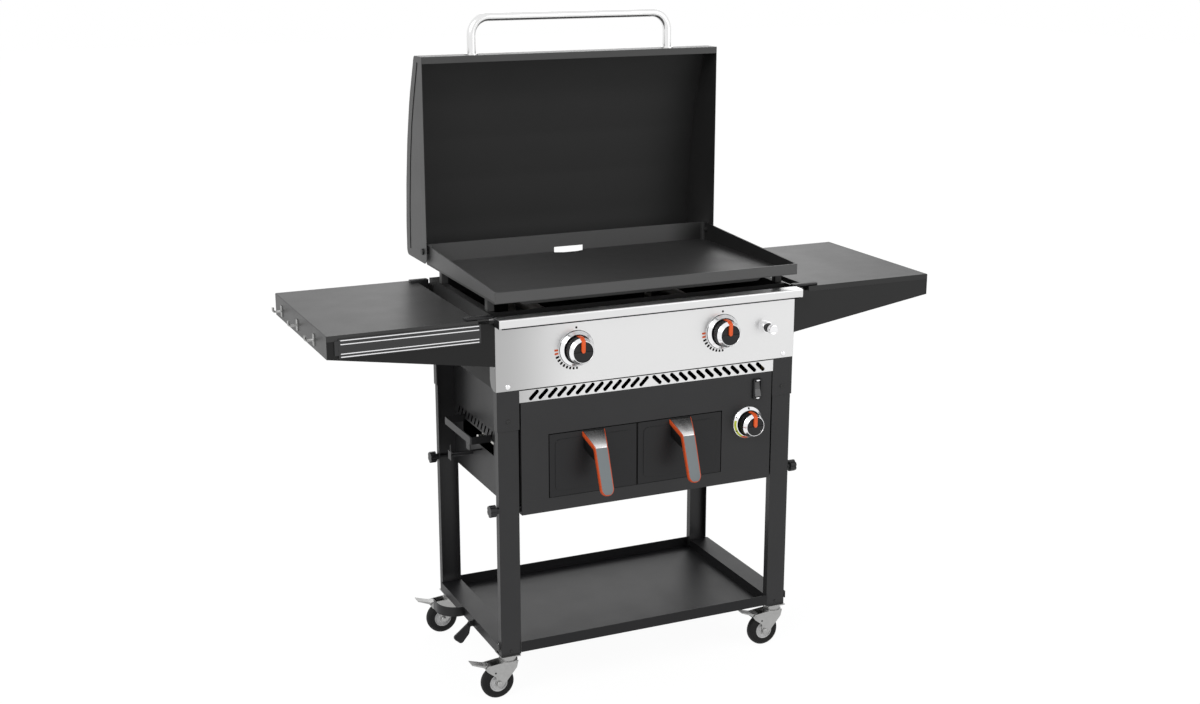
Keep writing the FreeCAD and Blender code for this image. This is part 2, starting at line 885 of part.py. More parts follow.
# Vent strip
# Slanted slots on both sides of the middle, leaning away from it at the bottom.
vent_half = leg_outer - leg_web
body = new_body("vent_strip")
extrude(body, "XZ", [rectangle(-vent_half, vent_bottom, vent_half, vent_top)], 0, sheet_thick)
slot_low = (vent_bottom + vent_top - vent_slot_rise) / 2
slot_high = slot_low + vent_slot_rise
lean = vent_slot_lean / vent_slot_rise
slot_reach = vent_slot_width / 2
for side, name in ((1, "right"), (-1, "left")):
    low = side * (vent_first + vent_slot_lean)
    high = side * vent_first
    slot = carve(
        body,
        "XZ",
        [[
            (low - slot_reach, slot_low - 2, slot_reach * 0.8),
            (low + slot_reach, slot_low - 2, slot_reach * 0.8),
            (high + slot_reach, slot_high + 2, slot_reach * 0.8),
            (high - slot_reach, slot_high + 2, slot_reach * 0.8),
        ]],
        -1,
        sheet_thick + 1,
    )
    row_of(body, slot, "X_Axis", vent_pitch, vent_slots, backwards=side < 0)
node("vent_strip", body)

# Fryer front panel
# A shallow folded panel with the bay for both baskets, the gas ring and the switch.
front_in = front_half - sheet_thick
bay_left = basket_middle - basket_pitch
bay_right = basket_middle + basket_pitch
bay_top = basket_top + basket_edge_gap
switch_half = switch_width / 2 - 2
switch_rise = switch_length / 2 - 2
switch_level = ring_height + switch_height
body = new_body("fryer_front_panel")
extrude(
    body,
    "XY",
    [[
        (-front_half, 0),
        (front_half, 0),
        (front_half, front_return),
        (front_in, front_return),
        (front_in, sheet_thick),
        (-front_in, sheet_thick),
        (-front_in, front_return),
        (-front_half, front_return),
    ]],
    pan_edge,
    vent_bottom,
)
carve(
    body,
    "XZ",
    [
        rectangle(bay_left, pan_edge - 1, bay_right, bay_top),
        ("circle", ring_place, ring_height, stem_radius + 3),
        rectangle(
            switch_place - switch_half,
            switch_level - switch_rise,
            switch_place + switch_half,
            switch_level + switch_rise,
        ),
    ],
    -1,
    sheet_thick + 1,
)
node("fryer_front_panel", body)

# Fryer base pan
# The pan under the housing, turned up in front as far as the baskets.
housing_front = front_return
housing_rear = leg_back - front_return
rear_face = leg_back
body = new_body("fryer_base_pan")


def housing_plan(inset):
    """The housing seen from above, stepped in at both ends to pass between the legs."""
    side = housing_half - inset
    end = front_half - inset
    front = housing_front + inset
    rear = housing_rear - inset
    return [
        (-end, dim(inset)),
        (end, dim(inset)),
        (end, front),
        (side, front),
        (side, rear),
        (end, rear),
        (end, rear_face - inset),
        (-end, rear_face - inset),
        (-end, rear),
        (-side, rear),
        (-side, front),
        (-end, front),
    ]


extrude(body, "XY", [housing_plan(dim(0))], housing_bottom, pan_edge)
carve(body, "XY", [housing_plan(sheet_thick)], housing_bottom + sheet_thick, pan_edge + 1)
carve(
    body,
    "XY",
    [
        rectangle(front_in, housing_front, housing_half + 1, housing_rear),
        rectangle(-housing_half - 1, housing_front, -front_in, housing_rear),
    ],
    pan_rim,
    pan_edge + 1,
)
carve(
    body,
    "YZ",
    [
        ("circle", thumb_front, thumb_height, stud_radius + 0.2),
        ("circle", leg_back - thumb_front, thumb_height, stud_radius + 0.2),
    ],
    -front_half - 1,
    front_half + 1,
)
node("fryer_base_pan", body)

# Fryer side panels
# The left one has the gas hatch; both have a row of leaning slots.
side_sheet = [
    (front_half - sheet_thick, housing_front),
    (housing_half, housing_front),
    (housing_half, housing_rear),
    (front_half - sheet_thick, housing_rear),
    (front_half - sheet_thick, housing_rear - sheet_thick),
    (housing_half - sheet_thick, housing_rear - sheet_thick),
    (housing_half - sheet_thick, housing_front + sheet_thick),
    (front_half - sheet_thick, housing_front + sheet_thick),
]
slot_foot = side_slot_top - side_slot_length


def side_slot_row(body, start, end):
    first = side_slot_first
    slot = carve(
        body,
        "YZ",
        [[
            (first, side_slot_top),
            (first + side_slot_lean, slot_foot),
            (first + side_slot_lean + side_slot_width, slot_foot),
            (first + side_slot_width, side_slot_top),
        ]],
        start,
        end,
    )
    row_of(body, slot, "Y_Axis", side_slot_pitch, side_slots)


right_side = new_body("fryer_right_side")
extrude(right_side, "XY", [side_sheet], pan_rim, box_floor)
side_slot_row(right_side, housing_half - 2, housing_half + 1)
left_side = new_body("fryer_left_side")
extrude(left_side, "XY", [[(-x, y) for x, y in side_sheet]], pan_rim, box_floor)
carve(
    left_side,
    "YZ",
    [rectangle(hatch_front, hatch_bottom, hatch_back, hatch_top)],
    -housing_half - 1,
    -housing_half + 2,
)
side_slot_row(left_side, -housing_half - 1, -housing_half + 2)
node("fryer_side_panels", group("fryer_side_panels", [left_side, right_side]))

# Fryer rear panel
# The same folded panel as in front, with a louvred vent behind the fan.
body = new_body("fryer_rear_panel")
rear_in = rear_face - sheet_thick
extrude(
    body,
    "XY",
    [[
        (-front_half, rear_face),
        (front_half, rear_face),
        (front_half, housing_rear),
        (front_in, housing_rear),
        (front_in, rear_in),
        (-front_in, rear_in),
        (-front_in, housing_rear),
        (-front_half, housing_rear),
    ]],
    pan_edge,
    box_floor,
)
louvre_low = basket_bottom + 30
slot = carve(
    body,
    "XZ",
    [rectangle(
        basket_middle - rear_louvre_length / 2,
        louvre_low,
        basket_middle + rear_louvre_length / 2,
        louvre_low + rear_louvre_pitch / 3,
    )],
    rear_in - 1,
    rear_face + 1,
)
row_of(body, slot, "Z_Axis", rear_louvre_pitch, rear_louvres)
node("fryer_rear_panel", body)

# Fryer chamber
# The cooking bay behind the front panel: floor, sides, back, a divider and the runners.
chamber_left = bay_left - chamber_margin
chamber_right = bay_right + chamber_margin
body = new_body("fryer_chamber")
extrude(
    body,
    "XY",
    [rectangle(chamber_left, sheet_thick, chamber_right, chamber_depth)],
    pan_edge,
    chamber_top,
)
carve(
    body,
    "XY",
    [
        rectangle(
            chamber_left + sheet_thick,
            0,
            basket_middle - sheet_thick / 2,
            chamber_depth - sheet_thick,
        ),
        rectangle(
            basket_middle + sheet_thick / 2,
            0,
            chamber_right - sheet_thick,
            chamber_depth - sheet_thick,
        ),
    ],
    pan_edge + sheet_thick,
    chamber_top - sheet_thick,
)
fan_bay = tub_length + 8
carve(
    body,
    "XY",
    [rectangle(
        chamber_left + sheet_thick,
        fan_bay,
        chamber_right - sheet_thick,
        chamber_depth - sheet_thick,
    )],
    pan_edge + sheet_thick,
    chamber_top - sheet_thick,
)
carve(
    body,
    "XZ",
    [("circle", basket_middle, fan_height, fan_shaft + 3)],
    chamber_depth - sheet_thick - 1,
    chamber_depth + 1,
)
basket_half = basket_pitch / 2 - basket_gap / 2
tub_half = basket_half - tub_inset
basket_centres = {
    "left": basket_middle - basket_pitch / 2,
    "right": basket_middle + basket_pitch / 2,
}
runner_outlines = []
for centre in basket_centres.values():
    for side in (-1, 1):
        edge = centre + side * (tub_half - tub_corner - runner_width / 2)
        runner_outlines.append(
            rectangle(edge - runner_width / 2, 6, edge + runner_width / 2, tub_length)
        )
extrude(
    body,
    "XY",
    runner_outlines,
    pan_edge + sheet_thick / 2,
    tub_floor - running_gap,
)
node("fryer_chamber", body)

# Leg stubs
# Upright channels from the burner box, one at each corner, open towards the middle.
leg_inner = leg_outer - leg_web
leg_front = sheet_thick


def leg_channel(outer, inner, front, back_edge, wall):
    """A channel seen from above, its web in front and its two sides behind it."""
    return [
        (inner, front),
        (outer, front),
        (outer, back_edge),
        (outer - wall, back_edge),
        (outer - wall, front + wall),
        (inner + wall, front + wall),
        (inner + wall, back_edge),
        (inner, back_edge),
    ]


leg_middle = leg_back / 2
stub = new_body("leg_stub")
extrude(
    stub,
    "XY",
    [leg_channel(leg_outer, leg_inner, leg_front, leg_return, leg_thick)],
    stub_bottom,
    box_floor,
)
stub_left = mirror("leg_stub_left", stub)
stub_front = group("leg_stub_front", [stub, stub_left])
stub_rear = mirror("leg_stub_rear", stub_front, "Y", leg_middle)
node("leg_stubs", group("leg_stubs", [stub_front, stub_rear]))

# Lower legs
# Narrower channels that stand inside the stubs, each with a foot plate for its caster.
nest = leg_thick + leg_nest_gap
lower_front = leg_front + nest
lower_outer = leg_outer - nest
lower_inner = leg_inner + nest
leg_top = stub_bottom + leg_overlap
lower = new_body("lower_leg")
extrude(
    lower,
    "XY",
    [leg_channel(lower_outer, lower_inner, lower_front, leg_return, leg_thick)],
    leg_bottom,
    leg_top,
)
extrude(
    lower,
    "XY",
    [rectangle(lower_inner, lower_front, lower_outer, foot_length)],
    leg_bottom,
    leg_bottom + leg_thick,
)
carve(
    lower,
    "YZ",
    [("circle", thumb_front, thumb_height, stud_radius + 0.2)],
    lower_inner - 1,
    lower_outer + 1,
)
lower_left = mirror("lower_leg_left", lower)
lower_front = group("lower_leg_front", [lower, lower_left])
lower_rear = mirror("lower_leg_rear", lower_front, "Y", leg_middle)
node("lower_legs", group("lower_legs", [lower_front, lower_rear]))

# Lower tray
# One folded sheet: a floor, a raised wall and ledge along each side, and end lips.
body = new_body("lower_tray")
floor_under = tray_floor - tray_thick
wall_in = tray_wall_half - tray_thick
ledge_in = tray_ledge_half - tray_thick
ledge_under = tray_ledge - tray_thick
profile = [
    (-tray_ledge_half, tray_skirt),
    (-ledge_in, tray_skirt),
    (-ledge_in, ledge_under),
    (-tray_wall_half, ledge_under),
    (-tray_wall_half, floor_under),
    (tray_wall_half, floor_under),
    (tray_wall_half, ledge_under),
    (ledge_in, ledge_under),
    (ledge_in, tray_skirt),
    (tray_ledge_half, tray_skirt),
    (tray_ledge_half, tray_ledge),
    (wall_in, tray_ledge),
    (wall_in, tray_floor),
    (-wall_in, tray_floor),
    (-wall_in, tray_ledge),
    (-tray_ledge_half, tray_ledge),
]
tray_start = leg_return + 1
extrude(body, "XZ", [profile], tray_start, leg_back - tray_start)
tray_half = lower_inner
extrude(
    body,
    "YZ",
    [[
        (dim(0), floor_under),
        (tray_start + 1, floor_under),
        (tray_start + 1, tray_floor),
        (tray_thick, tray_floor),
        (tray_thick, tray_lip),
        (dim(0), tray_lip),
    ]],
    -tray_half,
    tray_half,
)
extrude(
    body,
    "YZ",
    [[
        (leg_back - tray_start - 1, floor_under),
        (tray_back, floor_under),
        (tray_back, tray_lip),
        (tray_back - tray_thick, tray_lip),
        (tray_back - tray_thick, tray_floor),
        (leg_back - tray_start - 1, tray_floor),
    ]],
    -tray_half,
    tray_half,
)
node("lower_tray", body)

# Burner tubes
# Two straight steel tubes under the plate, each on the outlet of its own valve.
burner_start = valve_bay + 2
tube = rod("burner_tube", "Y", burner_radius, knob_spacing, burner_start, burner_axis, burner_length)
mouth = rod(
    "burner_mouth",
    "Y",
    burner_radius - sheet_thick,
    knob_spacing,
    burner_start - 1,
    burner_axis,
    burner_length - 4,
)
feet = []
for name, place in (("rear", burner_start + burner_length - 12), ("front", burner_start + 4)):
    feet.append(block(
        "burner_foot_" + name,
        knob_spacing - burner_foot,
        place,
        box_floor + sheet_thick,
        knob_spacing + burner_foot,
        place + 2,
        burner_axis,
    ))
burner_right = cut("burner_right", join("burner_whole", [tube] + feet), mouth)
burner_left = mirror("burner_left", burner_right)
node("burner_tubes", group("burner_tubes", [burner_right, burner_left]))

# Gas pipe and valves
# A pipe across the bay feeds two plate valves and, through a thin tube, the fryer's.
pipe = rod("gas_pipe", "X", pipe_radius, -feed_place - 14, pipe_back, pipe_height, feed_place * 2 + 28)
valve_half = valve_width / 2
valve_front = pipe_back - valve_half
valve_foot = lower_of(pipe_height, knob_height) - pipe_radius
valve_head = upper_of(pipe_height, burner_axis) + pipe_radius
stem_bore = stem_radius + shaft_gap
pieces = [pipe]
bores = []
for side, name in ((1, "right"), (-1, "left")):
    centre = side * knob_spacing
    pieces.append(block(
        "valve_" + name,
        centre - valve_half,
        valve_front,
        valve_foot,
        centre + valve_half,
        pipe_back + valve_half,
        valve_head,
    ))
    pieces.append(rod(
        "spud_" + name, "Y", spud_hole - 1.5, centre, pipe_back, burner_axis, burner_start - pipe_back
    ))
    bores.append(rod(
        "valve_bore_" + name, "Y", stem_bore, centre, valve_front - 1, knob_height, valve_width - 4
    ))
pieces.append(block(
    "ring_valve",
    ring_place - valve_half,
    ring_valve_front,
    ring_height - valve_half,
    ring_place + valve_half,
    ring_valve_front + valve_width,
    ring_height + valve_half,
))
bores.append(rod(
    "ring_bore", "Y", stem_bore, ring_place, ring_valve_front - 1, ring_height, valve_width - 4
))
pieces.append(bent_rod(
    "ring_feed",
    "XZ",
    [
        (feed_place, pipe_height),
        (feed_place, ring_height),
        (ring_place, ring_height),
    ],
    feed_bend,
    feed_radius,
    pipe_back,
    "Z",
))
pieces.append(bent_rod(
    "inlet_feed",
    "YZ",
    [
        (pipe_back, pipe_height),
        (pipe_back, inlet_height),
        (inlet_back, inlet_height),
    ],
    feed_bend,
    feed_radius,
    -inlet_place,
    "Z",
))
elbow_out = thread_start - inlet_neck
pieces.append(rod(
    "inlet_elbow",
    "X",
    inlet_boss,
    -elbow_out,
    inlet_back,
    inlet_height,
    elbow_out - inlet_place + inlet_shoulder,
))
pieces.append(rod(
    "inlet_relief",
    "X",
    inlet_radius - inlet_neck,
    -thread_start - 1,
    inlet_back,
    inlet_height,
    inlet_neck + 2,
))
pieces.append(rod(
    "inlet_thread",
    "X",
    inlet_radius,
    -thread_start - inlet_length,
    inlet_back,
    inlet_height,
    inlet_length,
))
whole = join("gas_parts", pieces)
node("gas_manifold", cut("gas_manifold", whole, join("stem_bores", bores)))

# Knob bezels
# Three dished rings: two on the control panel, one on the fryer's front.
bezel = new_body("bezel")
bezel_bore = stem_radius + 1
revolve(
    bezel,
    "YZ",
    [
        (dim(0), bezel_bore),
        (dim(0), bezel_radius),
        (-bezel_depth * 0.5, bezel_radius, 2),
        (-bezel_depth, bezel_radius - bezel_rim / 2, 2),
        (-bezel_depth, bezel_radius - bezel_rim, 1),
        (-bezel_depth * 0.3, bezel_radius - bezel_rim * 1.4),
        (-bezel_depth * 0.3, bezel_bore),
    ],
    "Y_Axis",
)
bezels = []
for name, x, z in (
    ("left", -knob_spacing, knob_height),
    ("right", knob_spacing, knob_height),
    ("ring", ring_place, ring_height),
):
    bezels.append(move(copy_of("bezel_" + name, bezel), x, 0, z))
node("knob_bezels", group("knob_bezels", bezels))

# Knobs and their stems
# Each knob turns on a stem that is pushed in against a spring inside the valve.
knob_front = -knob_face
skirt_back = -(bezel_depth * 0.3) - knob_push - running_gap
skirt_front = -bezel_depth - 4
face_radius = knob_radius - 3
flat_bore = stem_radius + shaft_gap
socket_end = knob_front + 8
knob = new_body("knob")
revolve(
    knob,
    "YZ",
    [
        (skirt_back, flat_bore),
        (skirt_back, knob_skirt, 1.5),
        (skirt_front, knob_skirt, 1.5),
        (skirt_front, knob_radius),
        (knob_front + 2, knob_radius, 1),
        (knob_front + 1, face_radius),
        (knob_front + 4, face_radius - 1),
        (knob_front + 4, 0),
        (socket_end, 0),
        (socket_end, flat_bore),
    ],
    "Y_Axis",
)
extrude(
    knob,
    "XZ",
    [[
        (-face_radius + 0.5, dim(0)),
        (-face_radius * 0.72, -face_radius * 0.66),
        (-face_radius * 0.3, -face_radius * 0.92),
        (face_radius * 0.3, -face_radius * 0.92),
        (face_radius * 0.72, -face_radius * 0.66),
        (face_radius - 0.5, dim(0)),
    ]],
    knob_front + 1,
    knob_front + 5,
)
extrude(
    knob,
    "YZ",
    [[
        (skirt_front + 2, knob_radius - 1),
        (skirt_front + 2, knob_skirt - 1),
        (skirt_front - 4, knob_radius + 1.5, 2),
        (knob_front, knob_radius + 1.5, 2),
        (knob_front, dim(1)),
        (knob_front + 5, dim(1)),
        (knob_front + 5, knob_radius - 1),
    ]],
    -pointer_width / 2,
    pointer_width / 2,
)
stem_tip = socket_end + running_gap
for name, x, z, seat in (
    ("left", -knob_spacing, knob_height, valve_front),
    ("right", knob_spacing, knob_height, valve_front),
    ("fryer", ring_place, ring_height, ring_valve_front),
):
    node(name + "_knob", group(name + "_knob", [move(copy_of(name + "_knob_place", knob), x, 0, z)]))
    stem = rod(name + "_stem", "Y", stem_radius, x, stem_tip, z, seat + 14 - stem_tip)
    node(name + "_stem", group(name + "_valve_stem", [stem]))

# Igniter
# A bright collar with a dark sleeve and a sprung push button.
collar = new_body("igniter_collar")
sleeve_front = -(igniter_reach * 0.58)
collar_front = -(igniter_reach * 0.34)
button_stem = button_radius - 4
revolve(
    collar,
    "YZ",
    [
        (dim(0), button_stem + shaft_gap),
        (dim(0), igniter_ring),
        (collar_front, igniter_ring, 1.5),
        (collar_front, button_radius - 1),
        (sleeve_front, button_radius - 1),
        (sleeve_front, button_stem + shaft_gap),
    ],
    "Y_Axis",
)
tail = rod("igniter_tail", "Y", igniter_ring - 3, 0, 0, 0, 30)
tail_bore = rod("igniter_tail_bore", "Y", button_stem + shaft_gap, 0, -1, 0, 18)
collar_place = move(
    group("igniter_parts", [join("igniter_whole", [collar, cut("igniter_back", tail, tail_bore)])]),
    igniter_place,
    0,
    knob_height,
)
node("igniter_body", group("igniter_body", [collar_place]))
button = new_body("button")
revolve(
    button,
    "YZ",
    [
        (dim(10), dim(0)),
        (dim(10), button_stem),
        (sleeve_front - button_push - running_gap, button_stem),
        (sleeve_front - button_push - running_gap, button_radius),
        (-igniter_reach - 2, button_radius, 2),
        (-igniter_reach - 2, dim(0)),
    ],
    "Y_Axis",
)
node("igniter_button", group("igniter_button", [
    move(copy_of("button_place", button), igniter_place, 0, knob_height)
]))

# Power switch
# A rocker on two short pins inside a frame that is let into the front panel.
frame_half = switch_width / 2
frame_rise = switch_length / 2
frame_body = new_body("switch_frame")
extrude(
    frame_body,
    "XZ",
    [rectangle(
        switch_place - frame_half,
        switch_level - frame_rise,
        switch_place + frame_half,
        switch_level + frame_rise,
        3,
    )],
    -5,
    0,
)
extrude(
    frame_body,
    "XZ",
    [rectangle(
        switch_place - switch_half,
        switch_level - switch_rise,
        switch_place + switch_half,
        switch_level + switch_rise,
    )],
    0,
    14,
)
rocker_half = switch_half - 2
rocker_rise = switch_rise - 4.5
carve(
    frame_body,
    "XZ",
    [rectangle(
        switch_place - rocker_half - running_gap,
        switch_level - rocker_rise - 2.5,
        switch_place + rocker_half + running_gap,
        switch_level + rocker_rise + 2.5,
    )],
    -6,
    10,
)
carve(
    frame_body,
    "YZ",
    [("circle", 2, switch_level, pin_radius + shaft_gap)],
    switch_place - switch_half + 0.4,
    switch_place + switch_half - 0.4,
)
node("switch_housing", frame_body)
rocker = new_body("rocker")
extrude(
    rocker,
    "YZ",
    [[
        (-4 - rocker_tilt, switch_level - rocker_rise),
        (dim(0), switch_level - rocker_rise * 0.9),
        (dim(5), switch_level),
        (dim(3), switch_level + rocker_rise * 0.9),
        (-4 + rocker_tilt, switch_level + rocker_rise * 0.95),
        (dim(-3), switch_level),
    ]],
    switch_place - rocker_half,
    switch_place + rocker_half,
)
extrude(
    rocker,
    "YZ",
    [("circle", 2, switch_level, pin_radius)],
    switch_place - rocker_half - 1.2,
    switch_place + rocker_half + 1.2,
)
node("power_rocker", rocker)

# Griddle plate
# A steel tray with a low front wall, a higher back wall and a drain through the back.
plate_in = plate_half - plate_thick
plate_rear_in = plate_back - plate_thick
hinge_bore = hinge_radius + shaft_gap
body = new_body("griddle_plate")
extrude(
    body,
    "YZ",
    [[
        (plate_front, plate_under, plate_thick),
        (plate_back, plate_under, plate_thick),
        (plate_back, rear_wall_top),
        (plate_front, front_wall_top),
    ]],
    -plate_half,
    plate_half,
)
carve(
    body,
    "XY",
    [rectangle(
        -plate_in,
        plate_front + plate_thick,
        plate_in,
        plate_rear_in,
        plate_corner,
    )],
    plate_under + plate_thick,
    rear_wall_top + 1,
)
carve(
    body,
    "XY",
    [[
        (drain_left, plate_back + 1),
        (drain_left, plate_rear_in - 2, 4),
        (drain_left + drain_notch * 2, plate_rear_in - drain_notch, 12),
        (drain_right - drain_notch * 2, plate_rear_in - drain_notch, 12),
        (drain_right, plate_rear_in - 2, 4),
        (drain_right, plate_back + 1),
    ]],
    plate_under - 1,
    drain_top,
)
for start, end in ((-plate_half - 1, -plate_in - 0.5), (plate_in + 0.5, plate_half + 1)):
    carve(body, "YZ", [("circle", hinge_back, hinge_height, hinge_radius)], start, end)
chute_top = plate_rear_in - drain_notch - 5
chute_end = plate_back + chute_reach
chute_low = plate_under - chute_drop
extrude(
    body,
    "YZ",
    [[
        (chute_top, plate_under + 0.5),
        (chute_top, plate_under - 2),
        (chute_end, chute_low),
        (chute_end + 1.4, chute_low + 1.2),
        (chute_top + 4, plate_under - 1),
        (chute_top + 4, plate_under + 0.5),
    ]],
    drain_left - 5,
    drain_right + 5,
)
node("griddle_plate", body)

# Plate supports
# Four feet that stand on the box's side flanges and the wind guard behind the front.
supports = []
for side, name in ((1, "right"), (-1, "left")):
    for place, end in ((foot_front, "front"), (foot_rear, "rear")):
        centre = side * foot_place
        supports.append(block(
            "plate_foot_%s_%s" % (name, end),
            centre - foot_size / 2,
            place - foot_size / 2,
            box_top + running_gap,
            centre + foot_size / 2,
            place + foot_size / 2,
            plate_under,
        ))
guard = new_body("wind_guard")
extrude(
    guard,
    "XZ",
    [[
        (-guard_half, plate_under),
        (-guard_half, guard_bottom, guard_corner),
        (guard_half, guard_bottom, guard_corner),
        (guard_half, plate_under),
    ]],
    guard_back,
    guard_back + 2,
)
supports.append(guard)
node("plate_supports", group("plate_supports", supports))

# Hinge bolts
# One screwed into each side wall of the plate, with a spacer between plate and lid.
lid_side_in = lid_half - sheet_thick
shank = rod(
    "hinge_shank",
    "X",
    hinge_radius,
    plate_in + 0.5,
    hinge_back,
    hinge_height,
    lid_half - plate_in + 3,
)
spacer = rod(
    "hinge_spacer",
    "X",
    hinge_head,
    plate_half,
    hinge_back,
    hinge_height,
    lid_side_in - plate_half - running_gap,
)
head = rod(
    "hinge_head",
    "X",
    hinge_head,
    lid_half + running_gap,
    hinge_back,
    hinge_height,
    4,
)
bolt = join("hinge_bolt_right", [shank, head, spacer])
node("hinge_bolts", group("hinge_bolts", [bolt, mirror("hinge_bolt_left", bolt)]))

# Lid shell
# The curved skin with the strip that comes down onto the plate's front wall.


def lid_outline(inset):
    """The curved back of the lid from its top edge to its lower corner."""
    top = lid_top - inset
    return [
        (lid_rim + lid_depth_top - inset, top, 10 - inset * 0.5),
        (lid_rim + lid_depth_high - inset, lid_top - lid_step, lid_curve),
        (lid_rim + lid_depth_mid - inset, lid_top - lid_step * 2, lid_curve),
        (lid_rim + lid_depth_low - inset, lid_top - lid_step * 3, lid_curve),
        (lid_rim + lid_depth - inset, lid_top - lid_step * 4, lid_curve),
        (lid_rim + lid_depth - inset, lid_foot + inset, lid_corner - inset),
    ]


body = new_body("lid_shell")
skin_end = lid_rim + lid_depth - lid_tuck
extrude(
    body,
    "YZ",
    [
        [(lid_rim, lid_top - rim_strip), (lid_rim, lid_top)]
        + lid_outline(dim(0))
        + [(skin_end, lid_foot), (skin_end, lid_foot + sheet_thick)]
        + lid_outline(sheet_thick)[::-1]
        + [
            (lid_rim + sheet_thick, lid_top - sheet_thick),
            (lid_rim + sheet_thick, lid_top - rim_strip),
        ]
    ],
    -lid_side_in,
    lid_side_in,
)
node("lid_shell", body)

# Lid side panels
# Flat cheeks that hang outside the plate and turn on the hinge bolts.
cheek = new_body("lid_cheek")
extrude(
    cheek,
    "YZ",
    [
        [(lid_rim, lid_foot, 18), (lid_rim, lid_top)]
        + lid_outline(dim(0))
    ],
    lid_side_in,
    lid_half,
)
carve(
    cheek,
    "YZ",
    [("circle", hinge_back, hinge_height, hinge_bore)],
    lid_side_in - 1,
    lid_half + 1,
)
node("lid_side_panels", group("lid_side_panels", [cheek, mirror("lid_cheek_left", cheek)]))

# Lid handle
# One bent tube that stands on the lid's top, with a round flange under each leg.
tube = bent_rod(
    "lid_handle_tube",
    "XZ",
    [
        (-handle_half, lid_top + 1),
        (-handle_half, handle_height),
        (handle_half, handle_height),
        (handle_half, lid_top + 1),
    ],
    handle_corner,
    handle_tube,
    handle_back,
    "Z",
)
flange = rod("lid_handle_flange", "Z", handle_flange, handle_half, handle_back, lid_top, 3)
node("lid_handle", join("lid_handle", [tube, flange, mirror("lid_handle_flange_left", flange)]))

# Baskets
# Each has a face that closes its bay, a tub on the runners and a lift-out crisper.
for side, centre in basket_centres.items():
    name = "basket_" + side
    face = new_body(name + "_face")
    extrude(
        face,
        "XZ",
        [rectangle(centre - basket_half, basket_bottom, centre + basket_half, basket_top, 2)],
        0,
        face_thick,
    )
    extrude(
        face,
        "XZ",
        [rectangle(
            centre - basket_half + emboss_inset,
            basket_bottom + emboss_inset,
            centre + basket_half - emboss_inset,
            basket_top - emboss_inset,
            emboss_corner,
        )],
        -emboss_rise,
        0.2,
    )
    extrude(
        face,
        "XY",
        [rectangle(
            centre - tub_half,
            face_thick - 0.2,
            centre + tub_half,
            tub_length,
            tub_corner,
        )],
        tub_floor,
        tub_rim,
    )
    carve(
        face,
        "XY",
        [rectangle(
            centre - tub_half + sheet_thick,
            face_thick + sheet_thick,
            centre + tub_half - sheet_thick,
            tub_length - sheet_thick,
            tub_corner - sheet_thick,
        )],
        tub_floor + sheet_thick,
        tub_rim + 1,
    )
    crisper = new_body(name + "_crisper")
    crisper_half = tub_half - sheet_thick - running_gap
    crisper_front = face_thick + sheet_thick + running_gap
    crisper_back = tub_length - sheet_thick - running_gap
    extrude(
        crisper,
        "XY",
        [rectangle(
            centre - crisper_half,
            crisper_front,
            centre + crisper_half,
            crisper_back,
            tub_corner - sheet_thick,
        )],
        tub_floor + crisper_lift,
        tub_floor + crisper_lift + sheet_thick,
    )
    extrude(
        crisper,
        "XY",
        [
            rectangle(
                centre - crisper_half + 10,
                crisper_front + 20,
                centre - crisper_half + 12,
                crisper_back - 20,
            ),
            rectangle(
                centre + crisper_half - 12,
                crisper_front + 20,
                centre + crisper_half - 10,
                crisper_back - 20,
            ),
        ],
        tub_floor + sheet_thick,
        tub_floor + crisper_lift + 0.5,
    )
    slot = carve(
        crisper,
        "XY",
        [rectangle(
            centre - crisper_half + 24,
            crisper_front + 18,
            centre + crisper_half - 24,
            crisper_front + 18 + crisper_slot,
        )],
        tub_floor + crisper_lift - 1,
        tub_floor + crisper_lift + sheet_thick + 1,
    )
    row_of(crisper, slot, "Y_Axis", crisper_pitch, crisper_slots)
    node(name, group(name, [face, crisper]))

    # The handle runs out and down from the top of the face, with a bracket behind it.
    side_view = new_body(name + "_handle_side")
    handle_root = -emboss_rise
    extrude(
        side_view,
        "YZ",
        [[
            (handle_root, handle_top),
            (-handle_bend_out, handle_bend, 14),
            (-handle_tip_out, handle_tip + 8, 6),
            (-handle_tip_out, handle_tip),
            (handle_thick - handle_tip_out, handle_tip, 3),
            (handle_thick - handle_tip_out, handle_tip + 10, 8),
            (handle_thick - handle_bend_out, handle_bend - handle_thick / 2, 10),
            (handle_root, handle_top - handle_thick * 1.3),
        ]],
        centre - handle_top_width,
        centre + handle_top_width,
    )
    front_view = new_body(name + "_handle_front")
    grip_half = handle_width / 2
    extrude(
        front_view,
        "XZ",
        [[
            (centre - handle_top_width / 2, handle_top + 1),
            (centre - grip_half, handle_bend - 4, 12),
            (centre - grip_half, handle_tip, grip_half - 2),
            (centre + grip_half, handle_tip, grip_half - 2),
            (centre + grip_half, handle_bend - 4, 12),
            (centre + handle_top_width / 2, handle_top + 1),
        ]],
        -handle_tip_out - 5,
        0,
    )
    shape = doc.addObject("Part::MultiCommon", name + "_handle_shape")
    shape.Shapes = [side_view, front_view]
    bracket = new_body(name + "_bracket")
    extrude(
        bracket,
        "YZ",
        [[
            (handle_root, handle_top - handle_thick * 1.2),
            (handle_thick - handle_bend_out + 2, handle_bend - 1),
            (handle_thick - handle_bend_out - 2, handle_bend - 18, 4),
            (handle_root, handle_bend - 26),
        ]],
        centre - grip_half + 4,
        centre + grip_half - 4,
    )
    node(name + "_handle", join(name + "_handle", [shape, bracket]))

